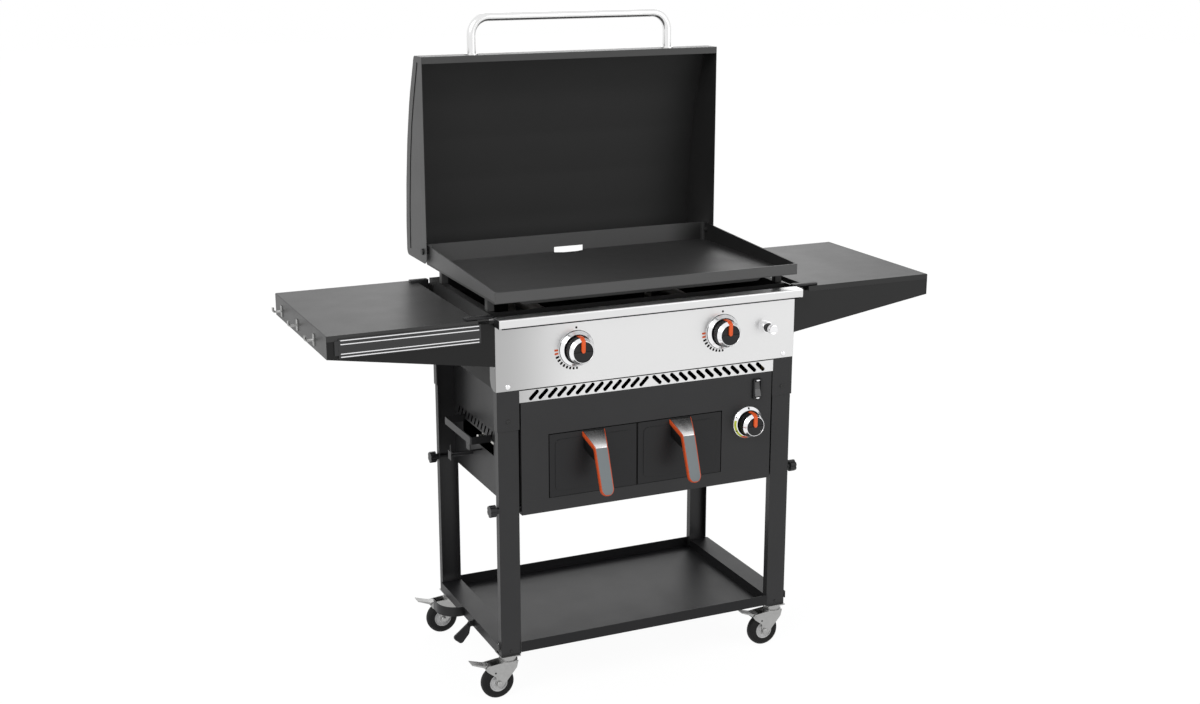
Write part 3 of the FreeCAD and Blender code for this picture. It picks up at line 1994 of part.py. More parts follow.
# Fan and its motor
# The motor stands on the rear panel and turns the fan through the chamber's back.
motor_front = chamber_depth + fan_depth
motor = rod(
    "motor", "Y", motor_radius, basket_middle, motor_front, fan_height, rear_in - motor_front
)
motor_bore = rod(
    "motor_bore", "Y", fan_shaft + shaft_gap, basket_middle, motor_front - 1, fan_height, 26
)
node("fan_motor", cut("fan_motor", motor, motor_bore))
wheel = new_body("fan")
fan_back = chamber_depth - sheet_thick - 4
fan_front = fan_back - fan_depth
extrude(wheel, "XZ", [("circle", 0, 0, fan_radius)], fan_back - 1.5, fan_back)
extrude(wheel, "XZ", [("circle", 0, 0, 10)], fan_front, fan_back - 1)
extrude(wheel, "XZ", [("circle", 0, 0, fan_shaft)], fan_back - 2, motor_front + 20)
blade = extrude(
    wheel,
    "XZ",
    [[
        (dim(8), dim(-1)),
        (fan_radius - 2, dim(8)),
        (fan_radius - 2, dim(9.5)),
        (dim(8), dim(1)),
    ]],
    fan_front,
    fan_back - 1,
)
blades = wheel.newObject("PartDesign::PolarPattern", "fan_blades")
blades.Originals = [blade]
blades.Axis = (origin_feature(wheel, "Y_Axis"), [""])
blades.Angle = 360
bind(blades, Occurrences=fan_blades)
wheel.Tip = blades
node("fan_wheel", group("fan_wheel", [move(copy_of("fan_place", wheel), basket_middle, 0, fan_height)]))

# Side shelves
# A folded deck with a deep outer edge on each side, drawn once and mirrored.
deck_under = shelf_top - sheet_thick
edge_in = shelf_outer - sheet_thick
edge_bottom = shelf_top - shelf_edge
fold_bottom = shelf_top - shelf_fold
gusset_front = shelf_front + sheet_thick
gusset_rear = shelf_back - sheet_thick
deck = new_body("shelf_deck")
extrude(
    deck,
    "XZ",
    [[
        (shelf_inner, shelf_top),
        (shelf_inner, fold_bottom),
        (shelf_inner + sheet_thick, fold_bottom),
        (shelf_inner + sheet_thick, deck_under),
        (edge_in, deck_under),
        (edge_in, edge_bottom),
        (shelf_outer, edge_bottom),
        (shelf_outer, shelf_top, 2),
    ]],
    gusset_front + gusset_thick + 1,
    gusset_rear - gusset_thick - 1,
)
extrude(
    deck,
    "XZ",
    [[
        (shelf_inner, shelf_top),
        (shelf_inner, deck_under),
        (edge_in, deck_under),
        (edge_in, edge_bottom),
        (shelf_outer, edge_bottom),
        (shelf_outer, shelf_top, 2),
    ]],
    shelf_front,
    shelf_back,
)
for start, end in ((shelf_front, gusset_front), (gusset_rear, shelf_back)):
    extrude(
        deck,
        "XY",
        [rectangle(shelf_inner, start, edge_in + 0.5, end)],
        fold_bottom,
        deck_under + 0.5,
    )
node("shelf_right", group("shelf_right", [deck]))
node("shelf_left", group("shelf_left", [mirror("shelf_deck_left", deck)]))

# Shelf gussets
# Tapered brackets in front of and behind each shelf, screwed to the sides of the box.
lug_top = shelf_top - shelf_lug
drop_bottom = shelf_top - gusset_drop


def gusset_outline(inner):
    return [
        (edge_in, deck_under),
        (edge_in, edge_bottom),
        (inner, drop_bottom),
        (inner, lug_top),
        (shelf_inner, lug_top),
        (shelf_inner, deck_under),
    ]


front_gusset = new_body("front_gusset")
extrude(
    front_gusset,
    "XZ",
    [gusset_outline(panel_half)],
    gusset_front,
    gusset_front + gusset_thick,
)
extrude(
    front_gusset,
    "XY",
    [rectangle(panel_half, gusset_front + 0.5, panel_half + gusset_thick, gusset_tab)],
    drop_bottom + 8,
    lug_top,
)
extrude(
    front_gusset,
    "XY",
    [rectangle(panel_half, gusset_front, shelf_inner - 0.5, gusset_tab)],
    lug_top - gusset_thick,
    lug_top,
)
rear_gusset = new_body("rear_gusset")
extrude(
    rear_gusset,
    "XZ",
    [gusset_outline(side_out)],
    gusset_rear - gusset_thick,
    gusset_rear,
)
extrude(
    rear_gusset,
    "XY",
    [rectangle(
        side_out, gusset_rear - gusset_tab, side_out + gusset_thick, gusset_rear - 0.5
    )],
    drop_bottom + 8,
    lug_top,
)
right_gussets = group("right_gussets", [front_gusset, rear_gusset])
node("shelf_gussets", group("shelf_gussets", [
    right_gussets,
    mirror("left_gussets", right_gussets),
]))

# Tool hooks
# Three bent hooks on small plates along the left shelf, and the rail on its front.
hook_centre = shelf_outer + tool_hook_reach - tool_hook_radius
hooks = []
for number in range(3):
    place = tool_hook_first + tool_hook_pitch * number
    wire = bent_rod(
        "tool_hook_%d" % number,
        "XZ",
        [
            (-shelf_outer - 0.5, tool_hook_height),
            (-hook_centre, tool_hook_height),
            (-hook_centre, tool_hook_height + 10),
        ],
        5,
        tool_hook_radius,
        place,
        "X",
    )
    plate = block(
        "tool_hook_plate_%d" % number,
        -shelf_outer - 2,
        place - 6,
        tool_hook_height - 12,
        -shelf_outer,
        place + 6,
        tool_hook_height + 12,
    )
    hooks.append(join("tool_hook_whole_%d" % number, [wire, plate]))
rail_low = shelf_top - 11 - rail_width
hooks.append(block(
    "tool_rail",
    -rail_outer,
    shelf_front - rail_thick,
    rail_low,
    -rail_inner,
    shelf_front,
    rail_low + rail_width,
))
node("tool_hooks", group("tool_hooks", hooks))

# Tank strap and peg
# A strap stands off the left side over the hatch; a peg with a square end sits below.
strap_out = housing_half + strap_reach
strap = new_body("tank_strap")
extrude(
    strap,
    "XY",
    [[
        (-housing_half, strap_front),
        (-strap_out, strap_front, 4),
        (-strap_out, strap_back, 4),
        (-housing_half, strap_back),
        (-housing_half, strap_back - strap_thick),
        (-strap_out + strap_thick, strap_back - strap_thick, 4 - strap_thick),
        (-strap_out + strap_thick, strap_front + strap_thick, 4 - strap_thick),
        (-housing_half, strap_front + strap_thick),
    ]],
    strap_top - strap_width,
    strap_top,
)
extrude(
    strap,
    "XY",
    [rectangle(
        -strap_out,
        strap_front + 5,
        -strap_out + strap_thick,
        strap_front + strap_tab,
    )],
    strap_top - strap_width - strap_tab_drop,
    strap_top - strap_width + 0.5,
)
peg_end = housing_half + peg_reach
peg = rod("tank_peg", "X", peg_radius, -peg_end + 1, peg_back, peg_height, peg_reach - 1)
peg_square = block(
    "tank_peg_plate",
    -peg_end,
    peg_back - peg_plate / 2,
    peg_height - peg_plate / 2,
    -peg_end + 2,
    peg_back + peg_plate / 2,
    peg_height + peg_plate / 2,
)
wire_end = housing_half + wire_reach
wire = bent_rod(
    "tank_wire",
    "XZ",
    [
        (-housing_half, wire_height),
        (-wire_end, wire_height),
        (-wire_end, wire_height + wire_upturn),
    ],
    8,
    wire_radius,
    wire_back,
    "X",
)
node("tank_bracket", group("tank_bracket", [strap, join("tank_peg_whole", [peg, peg_square]), wire]))

# Tank saddle
# A bent flat bar on the tray's ledge that holds the tank's ring, and the lever's lug.
saddle_out = tray_ledge_half + saddle_radius
saddle = new_body("tank_saddle_bar")
extrude(
    saddle,
    "XY",
    [[
        (-tray_ledge_half, saddle_front),
        (-saddle_out, saddle_front, saddle_radius - 4),
        (-saddle_out, saddle_front + saddle_radius + 16),
        (-saddle_out + saddle_thick, saddle_front + saddle_radius + 16),
        (-saddle_out + saddle_thick, saddle_front + saddle_thick, saddle_radius - 7),
        (-tray_ledge_half, saddle_front + saddle_thick),
    ]],
    tray_skirt,
    tray_skirt + saddle_width,
)
pivot_out = tray_ledge_half + 6
pivot_height = tray_skirt + saddle_width / 2
lug = block(
    "paddle_lug",
    -pivot_out - 5,
    paddle_back - 4,
    pivot_height - 7,
    -tray_ledge_half,
    paddle_back,
    pivot_height + 7,
)
lug_pin = rod(
    "paddle_pin", "Y", paddle_pin, -pivot_out, paddle_back - 1, pivot_height, paddle_thick + 5
)
node("tank_saddle", group("tank_saddle", [saddle, join("paddle_mount", [lug, lug_pin])]))

# Tank lever
# A flat paddle that swings on the lug's pin to lock the tank's ring.
reach = root(paddle_out * paddle_out + paddle_drop * paddle_drop)
step_x = -(paddle_out / reach)
step_z = -(paddle_drop / reach)
half_paddle = paddle_width / 2


def on_paddle(distance, offset, *corner):
    """A point along the lever, offset to one side of its middle line."""
    distance = dim(distance)
    offset = dim(offset)
    x = step_x * distance - step_z * offset - pivot_out
    z = step_z * distance + step_x * offset + pivot_height
    return (x, z) + corner


paddle = new_body("paddle")
paddle_start = paddle_back + running_gap
extrude(
    paddle,
    "XZ",
    [[
        on_paddle(-5.2, -5.2, 4),
        on_paddle(8, -5.2, 6),
        on_paddle(reach * 0.45, -half_paddle, 8),
        on_paddle(reach, -half_paddle, half_paddle - 1.5),
        on_paddle(reach, half_paddle, half_paddle - 1.5),
        on_paddle(reach * 0.45, half_paddle, 8),
        on_paddle(8, 5.2, 6),
        on_paddle(-5.2, 5.2, 4),
    ]],
    paddle_start,
    paddle_start + paddle_thick,
)
carve(
    paddle,
    "XZ",
    [("circle", -pivot_out, pivot_height, paddle_pin + shaft_gap)],
    paddle_start - 1,
    paddle_start + paddle_thick + 1,
)
node("tank_lever", paddle)

# Grease cup
# A folded cup behind the box that slides out rearwards on the two rails under its rim.
cup = new_body("grease_cup")
extrude(
    cup,
    "XY",
    [rectangle(cup_middle - cup_half, cup_front, cup_middle + cup_half, cup_back, 6)],
    cup_bottom,
    cup_top,
)
extrude(
    cup,
    "XY",
    [rectangle(
        cup_middle - cup_half - cup_rim, cup_front, cup_middle + cup_half + cup_rim, cup_back, 3
    )],
    cup_top - sheet_thick,
    cup_top,
)
carve(
    cup,
    "XY",
    [rectangle(
        cup_middle - cup_half + sheet_thick,
        cup_front + sheet_thick,
        cup_middle + cup_half - sheet_thick,
        cup_back - sheet_thick,
        5,
    )],
    cup_bottom + sheet_thick,
    cup_top + 1,
)
node("grease_cup", cup)

# Casters
# A plate with a kingpin on the leg, a swivelling fork, a wheel and a brake pedal.
plate_low = leg_bottom - caster_plate
fork_top = plate_low - running_gap
cheek_in = wheel_half + 1.5
cheek_out = cheek_in + fork_thick
kingpin_end = fork_crown + 1
base_plate = block(
    "caster_base",
    -caster_plate_half,
    -caster_plate_half,
    plate_low,
    caster_plate_half,
    caster_plate_half,
    leg_bottom,
)
kingpin = rod("kingpin", "Z", kingpin_radius, 0, 0, kingpin_end, plate_low - kingpin_end + 1)
caster_base = join("caster_base_whole", [base_plate, kingpin])
fork = new_body("fork")
cheek_outline = [
    (dim(19), fork_crown + 6),
    (dim(15), fork_crown - 10, 4),
    (8 - caster_trail, wheel_radius - 8, 8),
    (-9 - caster_trail, wheel_radius - 8, 8),
    (-7 - caster_trail, wheel_radius + 16, 6),
    (-pedal_pivot_out - 2, pedal_pivot - 7, 3),
    (-pedal_pivot_out - 7, pedal_pivot, 3),
    (-pedal_pivot_out - 2, pedal_pivot + 6, 3),
    (dim(-21), fork_crown + 6),
]
extrude(fork, "XZ", [cheek_outline], cheek_in, cheek_out)
extrude(fork, "XZ", [cheek_outline], -cheek_out, -cheek_in)
extrude(fork, "XY", [("circle", 0, 0, fork_radius)], fork_crown, fork_crown + 8)
extrude(fork, "XY", [("circle", 0, 0, fork_radius - 3)], fork_crown + 7, fork_top)
extrude(
    fork,
    "XZ",
    [("circle", -caster_trail, wheel_radius, axle_radius)],
    -cheek_out,
    cheek_out,
)
extrude(
    fork,
    "XZ",
    [("circle", -caster_trail, wheel_radius, axle_radius + 2.5)],
    -cheek_out - 3,
    -cheek_out + 0.5,
)
extrude(
    fork,
    "XZ",
    [("circle", -caster_trail, wheel_radius, axle_radius + 2.5)],
    cheek_out - 0.5,
    cheek_out + 3,
)
extrude(
    fork,
    "XZ",
    [("circle", -pedal_pivot_out, pedal_pivot, pedal_pin)],
    -cheek_out - 1,
    cheek_out + 1,
)
carve(
    fork,
    "XY",
    [("circle", 0, 0, kingpin_radius + shaft_gap)],
    fork_crown - 1,
    fork_top + 1,
)
tyre = new_body("tyre")
hub_radius = wheel_radius - tyre_thick
revolve(
    tyre,
    "YZ",
    [
        (-wheel_half, hub_radius),
        (-wheel_half, wheel_radius, tyre_round),
        (wheel_half, wheel_radius, tyre_round),
        (wheel_half, hub_radius),
    ],
    "Y_Axis",
)
hub = new_body("hub")
hub_bore = axle_radius + shaft_gap
revolve(
    hub,
    "YZ",
    [
        (-wheel_half - 0.8, hub_bore),
        (-wheel_half - 0.8, axle_radius + 5),
        (-wheel_half + 3, axle_radius + 7),
        (-wheel_half + 3, hub_radius - 3),
        (-wheel_half, hub_radius - 2),
        (-wheel_half, hub_radius),
        (wheel_half, hub_radius),
        (wheel_half, hub_radius - 2),
        (wheel_half - 3, hub_radius - 3),
        (wheel_half - 3, axle_radius + 7),
        (wheel_half + 0.8, axle_radius + 5),
        (wheel_half + 0.8, hub_bore),
    ],
    "Y_Axis",
)
wheel_parts = group("wheel_parts", [tyre, hub])
pedal = new_body("pedal")
pedal_half = pedal_width / 2 - 0.2
extrude(
    pedal,
    "XZ",
    [[
        (6 - pedal_pivot_out, pedal_pivot - 3, 2),
        (10 - pedal_pivot_out, pedal_pivot + 6, 2),
        (-8 - pedal_pivot_out, pedal_pivot + 8, 4),
        (-pedal_reach, pedal_pivot + 17),
        (-pedal_reach, pedal_pivot + 17 - pedal_thick),
        (-10 - pedal_pivot_out, pedal_pivot + 4, 4),
        (-3 - pedal_pivot_out, pedal_pivot - 4, 2),
    ]],
    -pedal_half,
    pedal_half,
)
carve(
    pedal,
    "XZ",
    [("circle", -pedal_pivot_out, pedal_pivot, pedal_pin + shaft_gap)],
    -pedal_half - 1,
    pedal_half + 1,
)
caster_rear = leg_back - caster_front
corners = (
    ("front_left", -caster_place, caster_front),
    ("front_right", caster_place, caster_front),
    ("rear_left", -caster_place, caster_rear),
    ("rear_right", caster_place, caster_rear),
)
plates = []
for corner, x, y in corners:
    plates.append(move(copy_of("caster_base_" + corner, caster_base), x, y, 0))
    for piece, source in (("fork", fork), ("brake", pedal)):
        name = "%s_%s" % (corner, piece)
        node(name, group(name, [move(copy_of(name + "_place", source), x, y, 0)]))
    name = corner + "_wheel"
    spot = move(copy_of(name + "_place", wheel_parts), x - caster_trail, y, wheel_radius)
    node(name, group(name, [spot]))
node("caster_plates", group("caster_plates", plates))

# Thumb knobs
# Each clamps a lower leg to the fryer's base pan with a stud and a weld nut.
thumb = new_body("thumb")
thumb_root = lower_outer
extrude(thumb, "YZ", [("circle", 0, 0, thumb_radius)], thumb_root + 6, thumb_root + thumb_length)
flute = carve(
    thumb,
    "YZ",
    [("circle", thumb_radius + 2, 0, 4)],
    thumb_root + 5,
    thumb_root + thumb_length + 1,
)
flutes = thumb.newObject("PartDesign::PolarPattern", "thumb_flutes")
flutes.Originals = [flute]
flutes.Axis = (origin_feature(thumb, "X_Axis"), [""])
flutes.Angle = 360
flutes.Occurrences = 6
thumb.Tip = flutes
extrude(thumb, "YZ", [("circle", 0, 0, stud_radius + 4)], thumb_root, thumb_root + 7)
extrude(thumb, "YZ", [("circle", 0, 0, stud_radius)], front_in - 6, thumb_root + 1)
extrude(thumb, "YZ", [("circle", 0, 0, stud_radius + 2.5)], front_in - 5, front_in)
thumb_right = move(copy_of("thumb_right", thumb), 0, thumb_front, thumb_height)
thumb_pair = group("thumb_pair", [thumb_right, mirror("thumb_left", thumb_right)])
node("thumb_knobs", group("thumb_knobs", [
    thumb_pair,
    mirror("thumb_pair_rear", thumb_pair, "Y", leg_middle),
]))

# Screws
# Heads on the control panel's sides, on the stubs and on the tray's corners.
side_screw = rod(
    "side_screw", "X", screw_radius, panel_half, side_screw_back, side_screw_height, screw_head
)
stub_screw = rod(
    "stub_screw",
    "Y",
    screw_radius,
    leg_outer - leg_web / 2,
    leg_front - screw_head,
    stub_screw_height,
    screw_head,
)
foot_screw = rod(
    "foot_screw",
    "Z",
    screw_radius,
    leg_outer - leg_web / 2 - 8,
    foot_length / 2 + 2,
    leg_bottom + leg_thick,
    screw_head + 1,
)
leg_screws = group("leg_screws", [stub_screw, foot_screw])
leg_pair = group("leg_screw_pair", [leg_screws, mirror("leg_screws_left", leg_screws)])
node("frame_screws", group("frame_screws", [
    side_screw,
    mirror("side_screw_left", side_screw),
    leg_pair,
    mirror("rear_screw_pair", leg_pair, "Y", leg_middle),
]))

# Check and export
doc.recompute()
for obj in doc.Objects:
    if "Invalid" in obj.State or "Error" in obj.State:
        raise RuntimeError("not computed: " + obj.Name)
for name, obj in nodes:
    shape = obj.Shape
    if shape.isNull() or not shape.isValid() or not shape.Solids:
        raise RuntimeError("no valid shape: " + name)
for name, obj in nodes:
    obj.Shape.exportStep("parts/%s.step" % name)
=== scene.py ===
import math
import bpy
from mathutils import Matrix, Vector


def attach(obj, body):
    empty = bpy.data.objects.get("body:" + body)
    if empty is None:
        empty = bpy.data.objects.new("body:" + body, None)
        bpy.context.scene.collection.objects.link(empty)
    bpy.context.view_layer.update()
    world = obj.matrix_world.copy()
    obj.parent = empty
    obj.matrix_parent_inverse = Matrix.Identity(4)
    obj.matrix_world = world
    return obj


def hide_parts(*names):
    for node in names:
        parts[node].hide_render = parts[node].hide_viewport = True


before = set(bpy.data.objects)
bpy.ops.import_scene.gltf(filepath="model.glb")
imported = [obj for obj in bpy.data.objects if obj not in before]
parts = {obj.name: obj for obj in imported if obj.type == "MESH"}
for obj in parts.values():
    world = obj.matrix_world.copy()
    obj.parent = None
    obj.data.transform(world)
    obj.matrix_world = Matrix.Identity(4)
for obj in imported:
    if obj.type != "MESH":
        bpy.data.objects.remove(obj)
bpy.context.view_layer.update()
bpy.ops.object.select_all(action="DESELECT")

# Studio
# A white sweep under soft lamps. The camera stands to the left of the cook's place and
# looks down a little, so that the plate, the left side and the tray all show.


class Signal:
    """One output of a node, so that a pattern reads as a formula."""

    def __init__(self, nodes, socket):
        self.nodes = nodes
        self.socket = socket

    def maths(self, operation, *values):
        return self.nodes.add("ShaderNodeMath", {"operation": operation}, values)

    def __add__(self, other):
        return self.maths("ADD", self, other)

    def __radd__(self, other):
        return self.maths("ADD", other, self)

    def __sub__(self, other):
        return self.maths("SUBTRACT", self, other)

    def __rsub__(self, other):
        return self.maths("SUBTRACT", other, self)

    def __mul__(self, other):
        return self.maths("MULTIPLY", self, other)

    def __rmul__(self, other):
        return self.maths("MULTIPLY", other, self)

    def __pow__(self, other):
        return self.maths("POWER", self, other)

    def step(self, low, high):
        """0 below low and 1 above high, with a soft way between; or turned round."""
        if low > high:
            return 1 - self.step(high, low)
        settings = {"interpolation_type": "SMOOTHSTEP"}
        return self.nodes.add("ShaderNodeMapRange", settings, {0: self, 1: low, 2: high})


class Nodes:
    """The nodes of one finish or of the air round the station."""

    def __init__(self, tree):
        self.tree = tree

    def add(self, kind, settings, values, output=0):
        """A node with its settings made first and its sockets filled or joined after."""
        node = self.tree.nodes.new(kind)
        for key, value in settings.items():
            setattr(node, key, value)
        pairs = values.items() if isinstance(values, dict) else enumerate(values)
        for key, value in pairs:
            if isinstance(value, Signal):
                self.tree.links.new(value.socket, node.inputs[key])
            else:
                node.inputs[key].default_value = value
        return Signal(self, node.outputs[output])


class Finish(Nodes):
    """A surface finish. What is the same all over sits on the shader's own sockets."""

    def __init__(self, name, colour, roughness, metallic=0.0, **fixed):
        self.material = bpy.data.materials.new(name)
        self.material.use_nodes = True
        self.material.diffuse_color = (*colour, 1)
        super().__init__(self.material.node_tree)
        self.shader = self.tree.nodes["Principled BSDF"]
        self.fix("Base Color", (*colour, 1))
        self.fix("Roughness", roughness)
        self.fix("Metallic", metallic)
        for socket, value in fixed.items():
            self.fix(socket.replace("_", " "), value)
        self.spot = self.add("ShaderNodeTexCoord", {}, {}, "Object")
        split = self.add("ShaderNodeSeparateXYZ", {}, [self.spot])
        self.x, self.y, self.z = [
            Signal(self, socket) for socket in split.socket.node.outputs
        ]

    def fix(self, socket, value):
        self.shader.inputs[socket].default_value = value

    def feed(self, socket, signal):
        self.tree.links.new(signal.socket, self.shader.inputs[socket])

    def grain(self, scale, detail=3.0, stretch=(1, 1, 1)):
        """Noise from 0 to 1 with about scale grains to the metre."""
        mapped = self.add("ShaderNodeMapping", {}, {"Vector": self.spot, "Scale": stretch})
        values = {"Vector": mapped, "Scale": scale, "Detail": detail, "Roughness": 0.55}
        return self.add("ShaderNodeTexNoise", {}, values)

    def blend(self, mask, first, second):
        """The first colour where the mask is 0, the second where it is 1."""
        values = {0: mask}
        for key, colour in ((6, first), (7, second)):
            values[key] = colour if isinstance(colour, Signal) else (*colour, 1)
        return self.add("ShaderNodeMix", {"data_type": "RGBA"}, values, 2)

    def relief(self, height, depth, edge=0.0):
        """Fine relief, on edges that are worn round by a given radius."""
        values = {"Height": height, "Distance": depth, "Strength": 1.0}
        if edge:
            values["Normal"] = self.add("ShaderNodeBevel", {"samples": 3}, {"Radius": edge})
        self.feed("Normal", self.add("ShaderNodeBump", {}, values))


def grey(level):
    return (level, level, level)


def seen_plainly(nodes):
    """1 for rays that see the background, straight or in a gloss, and 0 for its light."""
    rays = [
        nodes.add("ShaderNodeLightPath", {}, {}, output)
        for output in ("Is Camera Ray", "Is Glossy Ray", "Is Transmission Ray")
    ]
    seen = rays[0].maths("MAXIMUM", rays[0], rays[1])
    return seen.maths("MAXIMUM", seen, rays[2])


def lamp(name, power, size, where, height):
    """A square soft lamp that looks at a height on the middle line of the station."""
    data = bpy.data.lights.new(name, "AREA")
    data.energy = power
    data.size = size
    light = bpy.data.objects.new(name, data)
    bpy.context.scene.collection.objects.link(light)
    light.location = where
    aim = Vector((0, 0, height)) - Vector(where)
    light.rotation_euler = aim.to_track_quat("-Z", "Y").to_euler()


floor_size = 30
floor_middle = (0, 4, 0)
floor_glow = 1.06
floor_share = 0.9
air_light = 0.55

sweep = Finish("studio_white", grey(0.86), 0.9)
sweep.relief(sweep.grain(60), 0.0002)
glow = sweep.add("ShaderNodeEmission", {}, {"Color": (1, 1, 1, 1), "Strength": floor_glow})
lit = Signal(sweep, sweep.shader.outputs[0])
mixed = sweep.add(
    "ShaderNodeMixShader", {}, {0: seen_plainly(sweep) * floor_share, 1: lit, 2: glow}
)
sweep.tree.links.new(mixed.socket, sweep.tree.nodes["Material Output"].inputs["Surface"])
bpy.ops.mesh.primitive_plane_add(size=floor_size, location=floor_middle)
floor = bpy.context.object
floor.name = "studio_floor"
floor.data.materials.append(sweep.material)
bpy.ops.object.transform_apply(location=True)

world = bpy.data.worlds.new("studio_air")
bpy.context.scene.world = world
world.use_nodes = True
air = Nodes(world.node_tree)
sky = air.tree.nodes["Background"]
sky.inputs["Color"].default_value = (1, 1, 1, 1)
brightness = air_light + seen_plainly(air) * (1 - air_light)
air.tree.links.new(brightness.socket, sky.inputs["Strength"])

lamp("key_lamp", power=60, size=2.4, where=(-3.2, -2.0, 3.4), height=0.8)
lamp("fill_lamp", power=22, size=2.6, where=(2.6, -3.6, 2.2), height=0.7)
lamp("back_lamp", power=25, size=2.0, where=(1.5, 3.2, 3.0), height=1.0)

camera_data = bpy.data.cameras.new("camera")
camera_data.lens = 48.72
camera_data.shift_x = 0.0011
camera_data.shift_y = 0.0015
camera_data.clip_end = 100
camera = bpy.data.objects.new("camera", camera_data)
bpy.context.scene.collection.objects.link(camera)
camera.location = (-1.4753, -3.2558, 1.6458)
camera.rotation_euler = (math.radians(74.968), 0, math.radians(-24.277))
bpy.context.scene.camera = camera
bpy.context.scene.view_settings.view_transform = "Standard"

# Burner box, cooking chamber and grease cup
# The box and the fryer's chamber are folded sheet under a dull heat-proof black; the cup
# is pressed from plated steel and hangs in rails behind the box.


def dress(names, finish):
    """Give a finish to pieces that keep the shape they have."""
    for name in names:
        for slot in parts[name].material_slots:
            slot.material = finish.material


def powder_coat(name, colour, rough=0.42, grit=0.00003, edge=0.0006, level=0.5):
    """A baked powder coat: slightly pebbled, a little duller where it is thick."""
    powder = Finish(name, colour, rough, Specular_IOR_Level=level)
    pebble = powder.grain(1400, 2.0)
    cloud = powder.grain(14)
    powder.feed("Roughness", rough - 0.05 + cloud * 0.1)
    light = [value * 1.18 for value in colour]
    dark = [value * 0.86 for value in colour]
    powder.feed("Base Color", powder.blend(cloud, dark, light))
    powder.relief(pebble, grit, edge)
    return powder


heat_black = powder_coat("heat_black", grey(0.012), 0.6, level=0.3)
dress(["burner_box", "fryer_chamber"], heat_black)

plated = Finish("plated_steel", (0.30, 0.305, 0.31), 0.42, 0.85)
cells = plated.add("ShaderNodeTexVoronoi", {}, {"Vector": plated.spot, "Scale": 90.0}, "Color")
spangle = plated.add("ShaderNodeSeparateColor", {}, [cells])
plated.feed("Roughness", 0.34 + spangle * 0.18)
plated.feed("Base Color", plated.blend(spangle * 0.5, (0.27, 0.275, 0.28), (0.36, 0.365, 0.37)))
plated.relief(plated.grain(900), 0.00004, 0.0005)
dress(["grease_cup"], plated)

# Control panel and front lip
# Stainless sheet brushed along its length; the panel wraps round both sides of the box
# and the lip is a hollow bull-nose screwed to its top edge.


def brushed(name, colour, rough, stretch, edge=0.0005):
    """Steel with fine straight brush lines; stretch is small along the lines."""
    steel = Finish(name, colour, rough, 1.0)
    lines = steel.grain(1500, 4.0, stretch)
    cloud = steel.grain(9, 2.0)
    steel.feed("Roughness", rough - 0.07 + lines * 0.1 + cloud * 0.05)
    tint = [value * 0.9 for value in colour]
    steel.feed("Base Color", steel.blend(lines, tint, colour))
    steel.relief(lines, 0.00001, edge)
    return steel


along_panel = (0.02, 1, 1)
panel_steel = brushed("brushed_panel", grey(0.86), 0.34, along_panel)
# Painted reflection: the front darkens towards its left end as a painted dim reflection, and the
# wrapped sides off the front are painted dark as a painted dark reflection.
off_left_end = panel_steel.x.step(-0.345, -0.15)
front_painted_reflection = panel_steel.blend(off_left_end, grey(0.46), grey(0.77))
on_front = panel_steel.y.step(-0.2312, -0.2318)
panel_steel.feed("Base Color", panel_steel.blend(on_front, grey(0.20), front_painted_reflection))
dress(["control_panel"], panel_steel)
dress(["front_lip"], brushed("brushed_lip", grey(0.80), 0.3, along_panel))

# Fryer housing, legs, tray, tank strap and shelf gussets
# Folded sheet steel under a fine dark powder coat, bolted together; the lower legs slide
# inside the upper ones.
charcoal = powder_coat("charcoal_coat", (0.021, 0.021, 0.022), level=0.35)
dress(["fryer_front_panel", "fryer_base_pan", "fryer_side_panels", "fryer_rear_panel"], charcoal)
dress(["leg_stubs", "lower_legs", "tank_bracket"], charcoal)
dress(["lower_tray"], powder_coat("tray_coat", (0.010, 0.010, 0.011), level=0.24))

gusset_coat = powder_coat("gusset_coat", grey(0.012), level=0.28)
# Painted shadow: the left gussets are painted darker than the right ones, though all have the same
# coat.
off_left_painted_shadow = gusset_coat.x.step(-0.3, -0.2)
gusset_coat.feed("Base Color", gusset_coat.blend(off_left_painted_shadow, grey(0.007), grey(0.017)))
dress(["shelf_gussets"], gusset_coat)

# Burners and gas pipe
# Steel burner tubes and the valves' sprung stems, coloured by heat, and a brass pipe with
# its valves; the pipe's left end is plated where the hose is screwed on.
burner = Finish("burner_tube_steel", (0.35, 0.34, 0.32), 0.5, 0.9)
burner.feed("Base Color", burner.blend(burner.grain(20), (0.22, 0.19, 0.16), grey(0.42)))
burner.relief(burner.grain(500), 0.00004, 0.0004)
dress(["burner_tubes", "left_stem", "right_stem", "fryer_stem"], burner)

brass = Finish("turned_brass", (0.60, 0.45, 0.20), 0.32, 1.0)
brass.feed("Roughness", 0.26 + brass.grain(300) * 0.16)
past_fitting = brass.x.step(-0.26, -0.22)
brass.feed("Base Color", brass.blend(past_fitting, (0.78, 0.77, 0.74), (0.60, 0.45, 0.20)))
brass.relief(brass.grain(1200), 0.00002, 0.0004)
dress(["gas_manifold"], brass)

# Knob bezels
# Chromed rings with a black dish for the knob, pressed into their panels; the fryer's ring
# carries a printed scale.

MM = 0.001
DRAWN = Vector((11.0, -232.5, 0.0))
FACING_COOK = (math.radians(90), 0, 0)


def spot(x, y, z):
    """A point of the drawing, from the floor under the middle of the panel, in metres."""
    return (Vector((x, y, z)) + DRAWN) * MM


def start(name):
    """Name the new primitive and open it for editing with all of it selected."""
    piece = bpy.context.object
    piece.name = name
    bpy.ops.object.mode_set(mode="EDIT")
    bpy.ops.mesh.select_all(action="SELECT")
    return piece


def finish_mesh():
    """Turn all faces outwards and close the piece's editing."""
    bpy.ops.mesh.select_all(action="SELECT")
    bpy.ops.mesh.normals_make_consistent(inside=False)
    bpy.ops.object.mode_set(mode="OBJECT")


def only(piece):
    """Select one piece alone and make it active."""
    bpy.ops.object.select_all(action="DESELECT")
    piece.select_set(True)
    bpy.context.view_layer.objects.active = piece


